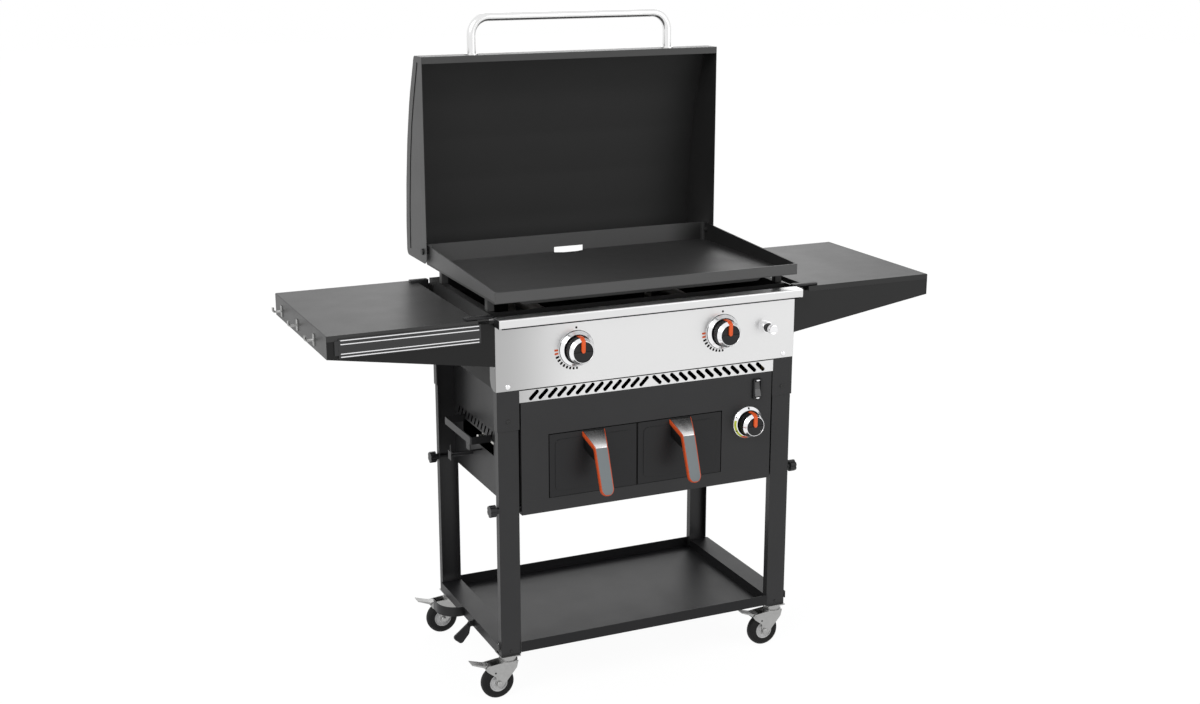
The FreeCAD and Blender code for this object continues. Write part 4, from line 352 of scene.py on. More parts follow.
def grow(way):
    """Extrude the selected faces or edges by a step."""
    bpy.ops.mesh.extrude_region_move(TRANSFORM_OT_translate={"value": way})


def turned(name, steps, sides, share=1.0):
    """A round piece grown from a disc; each step is the next radius and depth in mm."""
    steps = [(radius * share, depth) for radius, depth in steps]
    radius, depth = steps[0]
    bpy.ops.object.select_all(action="DESELECT")
    bpy.ops.mesh.primitive_circle_add(vertices=sides, radius=radius * MM, fill_type="NGON")
    piece = start(name)
    bpy.ops.transform.translate(value=(0, 0, depth * MM))
    for wider, further in steps[1:]:
        grow((0, 0, (further - depth) * MM))
        wider_by = wider / radius
        bpy.ops.transform.resize(value=(wider_by, wider_by, 1), center_override=(0, 0, 0))
        radius, depth = wider, further
    finish_mesh()
    return piece


def coat(piece, finishes, choose=None):
    """Give each face the finish that a rule picks from its middle and its facing."""
    for finish in finishes:
        piece.data.materials.append(finish.material)
    if choose:
        for face in piece.data.polygons:
            face.material_index = choose(face.center / MM, face.normal)


def place(piece, where, turn=(0, 0, 0)):
    """Turn and move a piece, and keep that in its mesh."""
    only(piece)
    piece.rotation_euler = turn
    piece.location = where
    bpy.ops.object.transform_apply(location=True, rotation=True, scale=True)


def copied(model, name, where, turn=(0, 0, 0)):
    """A copy of a modelled piece with a mesh of its own, put in its place."""
    piece = model.copy()
    piece.data = model.data.copy()
    piece.name = name
    bpy.context.scene.collection.objects.link(piece)
    place(piece, where, turn)
    return piece


def modify(piece, kind, **settings):
    """Add a modifier and apply it at once."""
    only(piece)
    step = piece.modifiers.new(kind.lower(), kind)
    for key, value in settings.items():
        setattr(step, key, value)
    bpy.ops.object.modifier_apply(modifier=step.name)


def settle(piece, body, edge=0.0, node=None):
    """Soften a piece's edges, shade it, and let it ride on its body."""
    if edge:
        sharp = math.radians(35)
        modify(
            piece,
            "BEVEL",
            width=edge * MM,
            segments=2,
            limit_method="ANGLE",
            angle_limit=sharp,
        )
    only(piece)
    bpy.ops.object.shade_smooth_by_angle(angle=math.radians(40))
    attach(piece, body)
    if node:
        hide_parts(node)


def from_axis(point):
    """How far a point lies from a round piece's own axis."""
    return math.hypot(point.x, point.y)


chrome = Finish("bright_chrome", (0.88, 0.88, 0.89), 0.12, 1.0)
chrome.feed("Roughness", 0.09 + chrome.grain(40) * 0.07)
chrome.relief(chrome.grain(600), 0.000005, 0.0003)
# Also the finish of thin plates painted as the shade in the front lip's hollow ends.
plastic = Finish("black_plastic_and_lip_end_shade", (0.010, 0.010, 0.011), 0.4, Specular_IOR_Level=0.35)
plastic.feed("Roughness", 0.34 + plastic.grain(60) * 0.14)
plastic.relief(plastic.grain(1800), 0.00002, 0.0004)


def ink(name, colour, level=0.5):
    """Screen-printed ink, thin enough to show a little unevenness."""
    film = Finish(name, colour, 0.45, Specular_IOR_Level=level)
    spread = film.grain(900)
    film.feed("Base Color", film.blend(spread, [value * 0.85 for value in colour], colour))
    film.feed("Roughness", 0.38 + spread * 0.15)
    return film


lime_ink = ink("lime_ink", (0.62, 0.70, 0.05))
orange_ink = ink("orange_ink", (0.80, 0.11, 0.02))
# Also the finish of thin strips painted as the shadow in the panel's gaps.
black_ink_and_gap_shadow = ink("black_ink_and_gap_shadow", grey(0.003), 0.15)

dish_depth = 2.2
dish_rim = 7.6
dish_reach = 33
bezel_steps = [
    (36, 0),
    (36, 1.5),
    (35.2, 3.0),
    (34.2, 3.9),
    (30.2, dish_rim),
    (29.4, 8.5),
    (28.8, 9),
    (28.2, 8.6),
    (27.9, 7.5),
    (27.7, dish_depth),
    (6, dish_depth),
]
dial_height = 773
dials = {"left": (-174, dial_height), "right": (174, dial_height), "fryer": (241.5, 557)}
burner_share = 1.1
fryer_bezel_share = 1.04

scale_inner = 32
scale_outer = 35
scale_dots = (90, 151.5, 207.5)
dot_half = 2.5
lime_from = 164
orange_from = 240
scale_end = 268
CHROME, DISH, LIME, ORANGE, DOT = range(5)


def bezel_coat(point, facing):
    """Black in the dish, on its wall and floor, and chrome round it."""
    on_wall = point.z < dish_rim and abs(facing.z) < 0.3 and from_axis(point) < dish_reach
    on_floor = abs(point.z - dish_depth) < 0.1
    return DISH if on_wall or on_floor else CHROME


def scale_coat(point, facing):
    """The fryer's scale: lime from nine to seven o'clock, orange to six, and black dots."""
    turn = math.degrees(math.atan2(point.y, point.x)) % 360
    if scale_inner < from_axis(point) < scale_outer:
        if min(abs(turn - dot) for dot in scale_dots) < dot_half:
            return DOT
        if lime_from < turn < orange_from:
            return LIME
        if orange_from < turn < scale_end:
            return ORANGE
    return bezel_coat(point, facing)


burner_bezel = turned("burner_bezel", bezel_steps, 96, burner_share)
coat(burner_bezel, [chrome, plastic], bezel_coat)
fryer_bezel = turned("ring_bezel", bezel_steps, 96, fryer_bezel_share)
coat(fryer_bezel, [chrome, plastic, lime_ink, orange_ink, black_ink_and_gap_shadow], scale_coat)
for dial, (x, z) in dials.items():
    model = fryer_bezel if dial == "fryer" else burner_bezel
    bezel = copied(model, dial + "_bezel", spot(x, 0, z), FACING_COOK)
    settle(bezel, "frame", node="knob_bezels")
bpy.data.objects.remove(burner_bezel)
bpy.data.objects.remove(fryer_bezel)

# Printed marks
# A dot at twelve o'clock, two orange ticks at nine and a row of black ticks that shrink
# towards six, printed on the panel round each upper knob.


def bar(length, wide, colour, radius=0.0, turn=0.0):
    """A printed bar with round corners, lying flat and pointing at the dial's middle; in black it is
    also a strip of painted shadow in the panel's gaps.
    """
    bpy.ops.object.select_all(action="DESELECT")
    bpy.ops.mesh.primitive_plane_add(size=1)
    piece = start("bar")
    bpy.ops.transform.resize(value=(length * MM, wide * MM, 1), center_override=(0, 0, 0))
    corner = 0.3 * min(length, wide)
    bpy.ops.mesh.bevel(offset=corner * MM, segments=2, affect="VERTICES")
    bpy.ops.mesh.select_all(action="SELECT")
    grow((0, 0, 0.12 * MM))
    finish_mesh()
    coat(piece, [colour])
    angle = math.radians(turn)
    where = Vector((radius * math.cos(angle), radius * math.sin(angle), 0))
    place(piece, where * MM, (0, 0, angle))
    return piece


def gather(name, pieces):
    """Join pieces that are printed or fixed together into one."""
    only(pieces[0])
    for piece in pieces:
        piece.select_set(True)
    bpy.ops.object.join()
    whole = bpy.context.object
    whole.name = name
    return whole


dot_radius = 45
orange_size = (9.0, 4.4)
orange_radius = 46
orange_turns = (180, 189.5)
tick_count = 8
tick_wide = 4.6
first_tick_turn = 199.5
tick_pitch = 10.3
first_tick_length = 8.4
tick_inner_radius = 41.6

marks = [bar(tick_wide, tick_wide, black_ink_and_gap_shadow, dot_radius, 90)]
for turn in orange_turns:
    marks.append(bar(*orange_size, orange_ink, orange_radius, turn))
for number in range(tick_count):
    length = first_tick_length - number * 0.5
    radius = tick_inner_radius - number * 0.15 + length / 2
    turn = first_tick_turn + number * tick_pitch
    marks.append(bar(length, tick_wide, black_ink_and_gap_shadow, radius, turn))
dial_marks = gather("dial_marks", marks)
for dial in ("left", "right"):
    x, z = dials[dial]
    marks = copied(dial_marks, dial + "_dial_marks", spot(x, 0, z), FACING_COOK)
    settle(marks, "frame")
bpy.data.objects.remove(dial_marks)

# Knobs
# Moulded black knobs, pushed onto their valves' stems, with a chromed bevel round a face
# whose lower half is raised; an orange pointer runs up the side and over the bevel.

side_top = 29.2
bevel_top = 37.9
knob_steps = [
    (24.0, 7.0),
    (26.0, 7.4),
    (26.4, 8.2),
    (26.4, 28.4),
    (26.1, side_top),
    (25.6, 29.7),
    (21.9, 37.2),
    (21.3, bevel_top),
    (20.7, 38.0),
    (20.3, 37.5),
    (20.0, 35.2),
    (1.0, 35.2),
]
half_step = [(19.9, 35.0), (19.9, 36.7), (19.4, 37.2), (1.0, 37.2)]
pointer_side = [
    (26.6, 11.5, 4.6),
    (26.9, 13, 4.6),
    (26.9, 29.4, 4.4),
    (22.0, 38.6, 4.2),
    (20.0, 39.2, 4.2),
]
pointer_face = [
    (21.0, 37.6, 4.2),
    (3.0, 37.1, 4.2),
    (0.8, 37.1, 3.8),
    (-0.9, 37.1, 2.8),
    (-1.8, 37.1, 1.3),
]
bodies = {
    "left": "left_burner_knob",
    "right": "right_burner_knob",
    "fryer": "fryer_control_knob",
}
fryer_knob_share = 1.02


def knob_coat(point, facing):
    """Chrome on the bevel and its rim, which alone reach above the side and the face."""
    on_rim = point.z > bevel_top - 0.3
    on_bevel = point.z > side_top + 0.1 and 0.2 < facing.z < 0.9
    return 1 if on_rim or on_bevel else 0


def ribbon(name, stations, thick):
    """A bent strip; each station is its place along Y and Z and its half width, in mm."""
    y, z, half = stations[0]
    bpy.ops.object.select_all(action="DESELECT")
    bpy.ops.mesh.primitive_plane_add(size=2 * MM)
    piece = start(name)
    bpy.ops.transform.resize(value=(half, 0, 0), center_override=(0, 0, 0))
    bpy.ops.mesh.remove_doubles(threshold=0.000001)
    bpy.ops.transform.translate(value=(0, y * MM, z * MM))
    for next_y, next_z, next_half in stations[1:]:
        grow((0, (next_y - y) * MM, (next_z - z) * MM))
        bpy.ops.transform.resize(value=(next_half / half, 1, 1), center_override=(0, 0, 0))
        y, z, half = next_y, next_z, next_half
    finish_mesh()
    modify(piece, "SOLIDIFY", thickness=thick * MM, offset=0.0, use_even_offset=True)
    return piece


pointer_orange = Finish("pointer_orange", (0.92, 0.11, 0.012), 0.38)
streak = pointer_orange.grain(70)
worn_orange = pointer_orange.blend(streak, (0.86, 0.10, 0.01), (0.96, 0.13, 0.015))
pointer_orange.feed("Roughness", 0.32 + streak * 0.12)
pointer_orange.feed("Base Color", worn_orange)
pointer_orange.relief(pointer_orange.grain(1500), 0.00001, 0.0003)

for share, fitted in ((burner_share, ("left", "right")), (fryer_knob_share, ("fryer",))):
    knob = turned("knob", knob_steps, 96, share)
    coat(knob, [plastic, chrome], knob_coat)
    step = turned("step", half_step, 96, share)
    only(step)
    bpy.ops.object.mode_set(mode="EDIT")
    bpy.ops.mesh.select_all(action="SELECT")
    bpy.ops.mesh.bisect(
        plane_co=(0, -0.6 * MM, 0), plane_no=(0, 1, 0), use_fill=True, clear_outer=True
    )
    finish_mesh()
    coat(step, [plastic])
    knob = gather("knob", [knob, step])
    side, face = [
        [(y * share, z, half) for y, z, half in stations]
        for stations in (pointer_side, pointer_face)
    ]
    pointer = gather("pointer", [ribbon("side", side, 1.6), ribbon("face", face, 4.2)])
    coat(pointer, [pointer_orange])
    for dial in fitted:
        x, z = dials[dial]
        piece = copied(knob, dial + "_knob_body", spot(x, 0, z), FACING_COOK)
        settle(piece, bodies[dial], 0.25, node=dial + "_knob")
        piece = copied(pointer, dial + "_pointer", spot(x, 0, z), FACING_COOK)
        settle(piece, bodies[dial], 0.3)
    bpy.data.objects.remove(knob)
    bpy.data.objects.remove(pointer)

# Vent strip
# A strip of the panel's steel below it, with leaning slots that spread from the middle;
# a gap parts it from the panel, and another parts the panel from its lip; thin black
# strips are painted in both as their shadow.
strip_half = 304.0
strip_bottom = 668.7
strip_top = 696.0
strip_thick = 1.0
slot_first = 15.5
slot_pitch = 21.3
slot_count = 13
slot_reach = (7.0, 6.7)
slot_wide = 8.8
slot_length = 2 * math.hypot(*slot_reach)
cutter_start = -2
cutter_depth = 6
# The thin black strips painted as the shadow in the two gaps: their length and height, and the lip
# one's place.
strip_gap_shadow = (2 * strip_half, 2.2)
lip_gap_shadow = (704, 2.4)
lip_gap_shadow_place = (0, -29.6, 838.0)

bpy.ops.object.select_all(action="DESELECT")
bpy.ops.mesh.primitive_plane_add(size=1)
vent = start("vent_strip_plate")
bpy.ops.transform.resize(
    value=(2 * strip_half * MM, (strip_top - strip_bottom) * MM, 1),
    center_override=(0, 0, 0),
)
grow((0, 0, strip_thick * MM))
finish_mesh()

bpy.ops.object.select_all(action="DESELECT")
bpy.ops.mesh.primitive_circle_add(vertices=24, radius=slot_wide / 2 * MM, fill_type="NGON")
cutter = start("cutter")
bpy.ops.mesh.select_all(action="DESELECT")
bpy.ops.object.mode_set(mode="OBJECT")
for vertex in cutter.data.vertices:
    vertex.select = vertex.co.x > 0.01 * MM
bpy.ops.object.mode_set(mode="EDIT")
bpy.ops.transform.translate(value=(slot_length * MM, 0, 0))
bpy.ops.mesh.select_all(action="SELECT")
bpy.ops.transform.translate(value=(-slot_length / 2 * MM, 0, cutter_start * MM))
grow((0, 0, cutter_depth * MM))
finish_mesh()
cutters = []
for way in (-1, 1):
    lean = math.atan2(-slot_reach[1] * way, slot_reach[0])
    for number in range(slot_count):
        along = way * (slot_first + number * slot_pitch)
        cutters.append(copied(cutter, "slot", (along * MM, 0, 0), (0, 0, lean)))
bpy.data.objects.remove(cutter)
cutters = gather("cutters", cutters)
modify(vent, "BOOLEAN", operation="DIFFERENCE", solver="EXACT", object=cutters)
bpy.data.objects.remove(cutters)
coat(vent, [panel_steel])
place(vent, spot(0, strip_thick, (strip_bottom + strip_top) / 2), FACING_COOK)
settle(vent, "frame", node="vent_strip")

# Painted shadow: thin black strips along the gap above the vent strip and the gap under the lip.
gap_shadows = [bar(*strip_gap_shadow, black_ink_and_gap_shadow), bar(*lip_gap_shadow, black_ink_and_gap_shadow)]
place(gap_shadows[0], spot(0, 0, strip_top - 0.2), FACING_COOK)
place(gap_shadows[1], spot(*lip_gap_shadow_place), FACING_COOK)
settle(gather("panel_gap_shadows", gap_shadows), "frame")

# Igniter
# A chromed collar with a black sleeve, screwed into the panel, and a bright turned cap
# that is pushed in to spark.
igniter_place = spot(282.4, 0, dial_height)
sleeve_radius = 9.7
collar_steps = [
    (13.0, 0),
    (13.0, 9.5),
    (12.4, 11.2),
    (11.0, 11.6),
    (10.0, 11.4),
    (sleeve_radius, 9.0),
    (sleeve_radius, 19.2),
    (4.0, 19.4),
]
cap_steps = [
    (6.9, -6),
    (6.9, 25.2),
    (10.6, 25.3),
    (11.0, 25.9),
    (11.0, 34.6),
    (10.4, 35.7),
    (9.2, 36.0),
    (8.6, 35.7),
    (1.0, 35.6),
]


def collar_coat(point, facing):
    """Chrome on the collar, 0, and black plastic on the sleeve within it."""
    return 0 if from_axis(point) > sleeve_radius + 0.1 else 1


collar = turned("igniter_collar", collar_steps, 48)
coat(collar, [chrome, plastic], collar_coat)
place(collar, igniter_place, FACING_COOK)
settle(collar, "frame", node="igniter_body")
cap = turned("igniter_cap", cap_steps, 48)
coat(cap, [chrome])
place(cap, igniter_place, FACING_COOK)
settle(cap, "igniter", node="igniter_button")

# Power switch
# A smoked rocker in a black frame that is clipped into the panel, with a bright clip
# head above and below the rocker; the thumb knobs and tank saddle share the black plastic.
switch_x = 264
switch_front = -5
clip_heights = {"upper": 652.2, "lower": 611.8}
clip_steps = [(3.0, 0), (3.0, 0.5), (2.2, 1.2), (0.6, 1.4)]

smoked = Finish("smoked_plastic", (0.05, 0.05, 0.052), 0.22, Coat_Weight=0.5, Coat_Roughness=0.08)
smoked.feed("Roughness", 0.16 + smoked.grain(80) * 0.12)
smoked.relief(smoked.grain(1200), 0.00001, 0.0008)
dress(["power_rocker"], smoked)
dress(["switch_housing", "thumb_knobs", "tank_saddle"], plastic)
clip_head = turned("clip_head", clip_steps, 32)
only(clip_head)
bpy.ops.object.mode_set(mode="EDIT")
bpy.ops.mesh.select_all(action="SELECT")
bpy.ops.transform.resize(value=(1.5, 0.62, 1), center_override=(0, 0, 0))
finish_mesh()
coat(clip_head, [chrome])
for name, z in clip_heights.items():
    clip = copied(clip_head, "switch_clip_" + name, spot(switch_x, switch_front, z), FACING_COOK)
    settle(clip, "frame")
bpy.data.objects.remove(clip_head)

# Plated fittings
# Zinc-plated steel for the casters' plates, forks and brake pedals and for the fan; the
# hinge bolts are blackened.
zinc = Finish("zinc_plate", (0.38, 0.38, 0.375), 0.36, 1.0)
bloom = zinc.grain(120, 4.0)
zinc.feed("Roughness", 0.28 + bloom * 0.2)
zinc.feed("Base Color", zinc.blend(bloom, (0.33, 0.33, 0.325), (0.44, 0.44, 0.435)))
zinc.relief(zinc.grain(800), 0.00003, 0.0004)
corners = ("front_left", "front_right", "rear_left", "rear_right")
dress(["caster_plates", "fan_motor", "fan_wheel"], zinc)
dress([corner + "_fork" for corner in corners], zinc)
dress([corner + "_brake" for corner in corners], zinc)
# Also the finish of thin black discs painted as the shade inside a hole in each fork.
blackened = powder_coat("blackened_steel_and_hole_shade", grey(0.012), 0.5)
dress(["hinge_bolts"], blackened)

# Griddle plate
# Hot-rolled steel welded at its corners and seasoned with oil, whose clouds vary its tone
# and gloss; it rests on four feet in the box. Its walls are painted lighter than its floor,
# the left wall lightest and the right wall dark, and its floor lighter towards the left,
# as painted light and shade; its front's outer face is a plain grey.
seasoned = Finish("seasoned_steel", grey(0.030), 0.5)
oil = seasoned.grain(11, 5.0)
seasoned.feed("Roughness", 0.42 + oil * 0.16)
# Painted highlight: the floor is painted lighter towards its left, mixed with the oil's clouds.
off_left_highlight_and_oil = seasoned.x.step(-0.35, 0.2) * 0.85 + oil * 0.15
inner_floor = seasoned.blend(off_left_highlight_and_oil, grey(0.060), grey(0.018))
# Painted light and shade: the walls lighter than the floor, the left wall lighter still, the right
# wall dark.
off_left_wall = seasoned.x.step(-0.335, -0.33)
wall = seasoned.blend(off_left_wall, grey(0.115), grey(0.086))
wall = seasoned.blend(seasoned.x.step(0.25, 0.345), wall, grey(0.012))
above_floor = seasoned.z.step(0.889, 0.8905)
inner = seasoned.blend(above_floor, inner_floor, wall)
outside = seasoned.y.step(-0.232, -0.236)
seasoned.feed("Base Color", seasoned.blend(outside, inner, grey(0.080)))
seasoned.relief(seasoned.grain(900), 0.00004, 0.0007)
dress(["griddle_plate", "plate_supports"], seasoned)

# Lid
# Folded and welded sheet steel, satin coated outside and blacker inside, with a crease
# along each cheek's curved edge, whose shade is painted as a thin black strip; it hangs on
# two bolts, and the right one's nut shows.
lid_coat = powder_coat("lid_satin_coat", grey(0.046), 0.46)
lid_inside = powder_coat("lid_inside_coat", grey(0.012), 0.55)
# Painted shade: the near-black finish of the strips that stand in for the shade in the creases.
crease_painted_shade = powder_coat("crease_painted_shade", grey(0.002), 0.7, level=0.1)

lid_middle = Vector((11.0, 220.0, 1120.0))
crease_side = 365.0
crease_thick = 5.0
crease_half = 0.5
crease_line = [
    (434, 1338),
    (446, 1306),
    (469, 1245),
    (485, 1193),
    (503, 1106),
    (515, 1010),
    (519.5, 928),
    (519, 908),
]
hinge_place = spot(352.4, 418.7, 914)
nut_steps = [(6.5, -0.3), (6.5, 3.0), (5.6, 3.6), (3.4, 3.6), (3.2, 5.2), (0.6, 5.4)]


def recut(node, name):
    """A copy of a drawn piece, with its split vertices merged, free to be shaped."""
    piece = parts[node].copy()
    piece.data = parts[node].data.copy()
    piece.name = name
    piece.parent = None
    piece.data.materials.clear()
    bpy.context.scene.collection.objects.link(piece)
    only(piece)
    bpy.ops.object.mode_set(mode="EDIT")
    bpy.ops.mesh.select_all(action="SELECT")
    bpy.ops.mesh.remove_doubles(threshold=0.00001)
    bpy.ops.mesh.dissolve_limited(angle_limit=math.radians(1))
    finish_mesh()
    return piece


def shell_coat(point, facing):
    """The inner coat, 1, on faces that look into the lid."""
    inwards = lid_middle - point
    return 1 if facing.dot(inwards) > 0.4 * inwards.length else 0


def cheek_coat(point, facing):
    """The inner coat, 1, on the flat side of each cheek that faces the other cheek."""
    return 1 if abs(facing.x) > 0.9 and facing.x * (point.x - lid_middle.x) < 0 else 0


shell = recut("lid_shell", "lid_skin")
coat(shell, [lid_coat, lid_inside], shell_coat)
settle(shell, "lid", node="lid_shell")
cheeks = recut("lid_side_panels", "lid_cheeks")
coat(cheeks, [lid_coat, lid_inside], cheek_coat)
settle(cheeks, "lid", node="lid_side_panels")
crease_stations = [(y, z, crease_half) for y, z in crease_line]
crease = ribbon("crease", crease_stations, crease_thick)
coat(crease, [crease_painted_shade])
for side, x in (("left", -crease_side), ("right", crease_side)):
    settle(copied(crease, side + "_lid_crease_shade", spot(x, 0, 0)), "lid")
bpy.data.objects.remove(crease)
nut = turned("hinge_nut", nut_steps, 6)
coat(nut, [blackened])
place(nut, hinge_place, (0, math.radians(-90), 0))
settle(nut, "plate")
dress(["lid_handle"], brushed("handle_steel", grey(0.86), 0.2, (0.1, 1, 1), 0.0))

# Tank lever
# The moulded black lever on a pin beside the tank's saddle; its paddle widens from the
# pin to a broad round end.
paddle_end = Vector((-390.2, 170.8, 79.9)) + DRAWN
across_paddle = Vector((0.751, 0.0, -0.662))
paddle_top = 100
paddle_gain = 4.5

lever = recut("tank_lever", "tank_lever_paddle")
for way in (-1, 1):
    bpy.ops.object.mode_set(mode="EDIT")
    bpy.ops.mesh.select_all(action="DESELECT")
    bpy.ops.object.mode_set(mode="OBJECT")
    for vertex in lever.data.vertices:
        point = vertex.co / MM
        aside = (point - paddle_end).dot(across_paddle) * way
        vertex.select = point.z < paddle_top and aside > 0.5
    bpy.ops.object.mode_set(mode="EDIT")
    bpy.ops.transform.translate(value=across_paddle * way * paddle_gain * MM)
    bpy.ops.object.mode_set(mode="OBJECT")
coat(lever, [plastic])
settle(lever, "lever", node="tank_lever")

# Baskets
# Pressed steel faces and tubs with a smooth dark coat; each slides on runners in the
# cooking chamber.
basket_coat = powder_coat(
    "basket_coat", (0.011, 0.011, 0.012), 0.36, grit=0.00001, edge=0.001, level=0.3
)
dress(["basket_left", "basket_right"], basket_coat)

# Basket handles
# An orange moulding with a brushed steel cover at the top and a grey grip below, on a
# black bracket that is screwed to the basket's face.
rim_orange = Finish("rim_orange", (0.66, 0.082, 0.013), 0.42)
rim_orange.feed("Roughness", 0.36 + rim_orange.grain(80) * 0.14)
rim_orange.relief(rim_orange.grain(1500), 0.00001, 0.0005)
grip_grey = Finish("grip_grey", (0.20, 0.225, 0.235), 0.55)
grip_grey.feed("Roughness", 0.48 + grip_grey.grain(50) * 0.14)
soft_grey = grip_grey.blend(grip_grey.grain(30), (0.19, 0.215, 0.225), (0.215, 0.24, 0.25))
grip_grey.feed("Base Color", soft_grey)
grip_grey.relief(grip_grey.grain(2500), 0.00003, 0.0003)
cover_steel = brushed("cover_steel", (0.80, 0.79, 0.79), 0.26, (1, 0.06, 0.06), 0.0002)
# Painted reflection: the cover's top is painted dark, fading into the bright steel lower down.
below_painted_top_reflection = cover_steel.z.step(0.588, 0.559) ** 1.5
cover_steel.feed("Base Color", cover_steel.blend(below_painted_top_reflection, grey(0.12), (0.80, 0.79, 0.79)))
bracket_black = powder_coat("bracket_black", grey(0.004), 0.5, level=0.2)

handle_centres = {"left": -135, "right": 73}
handle_top = Vector((0, 589))
handle_knee = Vector((-42, 563))
handle_tip = Vector((-82, 459))
knee_soft = 9.0
handle_length = 154.8
handle_bend = 49.4
top_half = 27
bend_half = 15.4
tip_half = 14.8
cover_length = 52.0
rim_wide = 2.3
strip_steps = 12
curve_steps = 6
bracket_stations = [
    (0, 0, 564, 48, 24),
    (0, -10, 557, 44, 24),
    (0, -30, 546, 33, 22),
    (0, -41, 540.5, 28, 18),
]


def loft(name, stations):
    """A four-sided piece grown along Y; each station is its middle, width and height."""
    x, y, z, wide, tall = stations[0]
    bpy.ops.object.select_all(action="DESELECT")
    bpy.ops.mesh.primitive_plane_add(size=1)
    piece = start(name)
    bpy.ops.transform.rotate(value=math.radians(90), orient_axis="X", center_override=(0, 0, 0))
    bpy.ops.transform.resize(value=(wide * MM, 1, tall * MM), center_override=(0, 0, 0))
    bpy.ops.transform.translate(value=(x * MM, y * MM, z * MM))
    for next_x, next_y, next_z, next_wide, next_tall in stations[1:]:
        grow(((next_x - x) * MM, (next_y - y) * MM, (next_z - z) * MM))
        x, y, z = next_x, next_y, next_z
        bpy.ops.transform.resize(
            value=(next_wide / wide, 1, next_tall / tall), center_override=(x * MM, y * MM, z * MM)
        )
        wide, tall = next_wide, next_tall
    finish_mesh()
    return piece


def along_handle(distance):
    """The place on the handle's front surface at a distance from its top, knee rounded."""
    first = (handle_knee - handle_top).length
    ahead = (handle_knee - handle_top).normalized()
    below = (handle_tip - handle_knee).normalized()
    if distance <= first - knee_soft:
        return handle_top + ahead * distance
    if distance >= first + knee_soft:
        return handle_knee + below * (distance - first)
    share = (distance - first + knee_soft) / (2 * knee_soft)
    begin = handle_knee - ahead * knee_soft
    end = handle_knee + below * knee_soft
    return begin * (1 - share) ** 2 + handle_knee * 2 * share * (1 - share) + end * share**2


def half_width(distance, inset):
    """Half the handle's width: tapered down to the bend, then nearly straight, round tip."""
    if distance < handle_bend:
        half = top_half + (bend_half - top_half) * distance / handle_bend
    else:
        lower = (distance - handle_bend) / (handle_length - handle_bend)
        half = bend_half + (tip_half - bend_half) * lower
    left = handle_length - distance
    if left < tip_half:
        half = min(half, math.sqrt(max(tip_half**2 - (tip_half - left) ** 2, 1.0)))
    return max(half - inset, 0.4)


def handle_part(name, begin, end, inset, sunk, thick):
    """A strip of the handle from one distance to another, sunk below its front surface."""
    places = [begin + (end - begin) * step / strip_steps for step in range(strip_steps + 1)]
    for step in range(curve_steps + 1):
        part = step / curve_steps
        places.append(handle_bend + (2 * part - 1) * knee_soft)
        places.append(handle_length - tip_half * (1 - math.sin(math.radians(90 * part))))
    stations = []
    for distance in sorted(set(round(value, 3) for value in places)):
        if begin <= distance <= end:
            here = along_handle(distance)
            ahead = (along_handle(distance + 0.5) - along_handle(distance - 0.5)).normalized()
            here -= Vector((ahead.y, -ahead.x)) * (sunk + thick / 2)
            stations.append((here.x, here.y, half_width(distance, inset)))
    return ribbon(name, stations, thick)


moulding = handle_part("moulding", 0, handle_length, 0.0, 1.2, 9.0)
coat(moulding, [rim_orange])
cover = handle_part("cover", 0, cover_length, rim_wide, 0.0, 1.6)
coat(cover, [cover_steel])
grip = handle_part("grip", cover_length + 0.3, handle_length - rim_wide, rim_wide, 0.3, 1.3)
coat(grip, [grip_grey])
bracket = loft("bracket", bracket_stations)
coat(bracket, [bracket_black])
for side, centre in handle_centres.items():
    handle = "basket_%s_handle" % side
    body = side + "_drawer"
    for name, model, edge in (("moulding", moulding, 0.8), ("cover", cover, 0.3), ("grip", grip, 0.3)):
        piece = copied(model, handle + "_" + name, spot(centre, 0, 0))
        settle(piece, body, edge, node=handle)
    piece = copied(bracket, handle + "_bracket", spot(centre, 0, 0))
    settle(piece, body, 1.5)
for model in (moulding, cover, grip, bracket):
    bpy.data.objects.remove(model)

# Side shelves
# Folded steel with a satin grey-black coat, one each side, screwed to their gussets; small
# plastic ears close their inner corners, and thin black plates in the lip's open ends are
# painted shade of its hollow.
shelf_coat = powder_coat("shelf_coat", grey(0.025), 0.40, level=0.46)
# Painted shade: the right shelf is painted darker than the left, though both have the same coat.
right_shelf_painted_shade = shelf_coat.x.step(0.2, 0.3)
shelf_coat.feed("Base Color", shelf_coat.blend(right_shelf_painted_shade, grey(0.026), grey(0.007)))
dress(["shelf_left", "shelf_right"], shelf_coat)

ear_side = 386
front_ear = {"middle": 14, "wide": 62, "height": 856.5, "tall": 5.0}
rear_ear = {"middle": 403, "wide": 44, "height": 850.5, "tall": 17.0}
# Painted shade: thin black plates that stand in the lip's hollow ends, their side and their stations.
lip_end_shade_side = 357.8
lip_end_shade_stations = [
    (0, -29.6, 847.5, 1.0, 15.0),
    (0, -28.4, 847.5, 1.0, 18.0),
    (0, -1.0, 847.5, 1.0, 18.0),
]


def ear(middle, wide, height, tall):
    """A low block with chamfered ends, across the middle of the station."""
    return loft("ear", [
        (0, middle - 10, height, wide - 10, tall - 2),
        (0, middle - 8, height, wide - 2, tall),
        (0, middle + 8, height, wide - 2, tall),
        (0, middle + 10, height, wide - 10, tall - 2),
    ])


models = [
    (ear(**front_ear), ear_side),
    (ear(**rear_ear), ear_side),
    (loft("lip_end_shade", lip_end_shade_stations), lip_end_shade_side),
]
ears = []
for way in (-1, 1):
    for model, side in models:
        ears.append(copied(model, "ear_copy", spot(side * way, 0, 0)))
for model, side in models:
    bpy.data.objects.remove(model)
ears = gather("shelf_ears", ears)
coat(ears, [plastic])
settle(ears, "frame", 1.0)

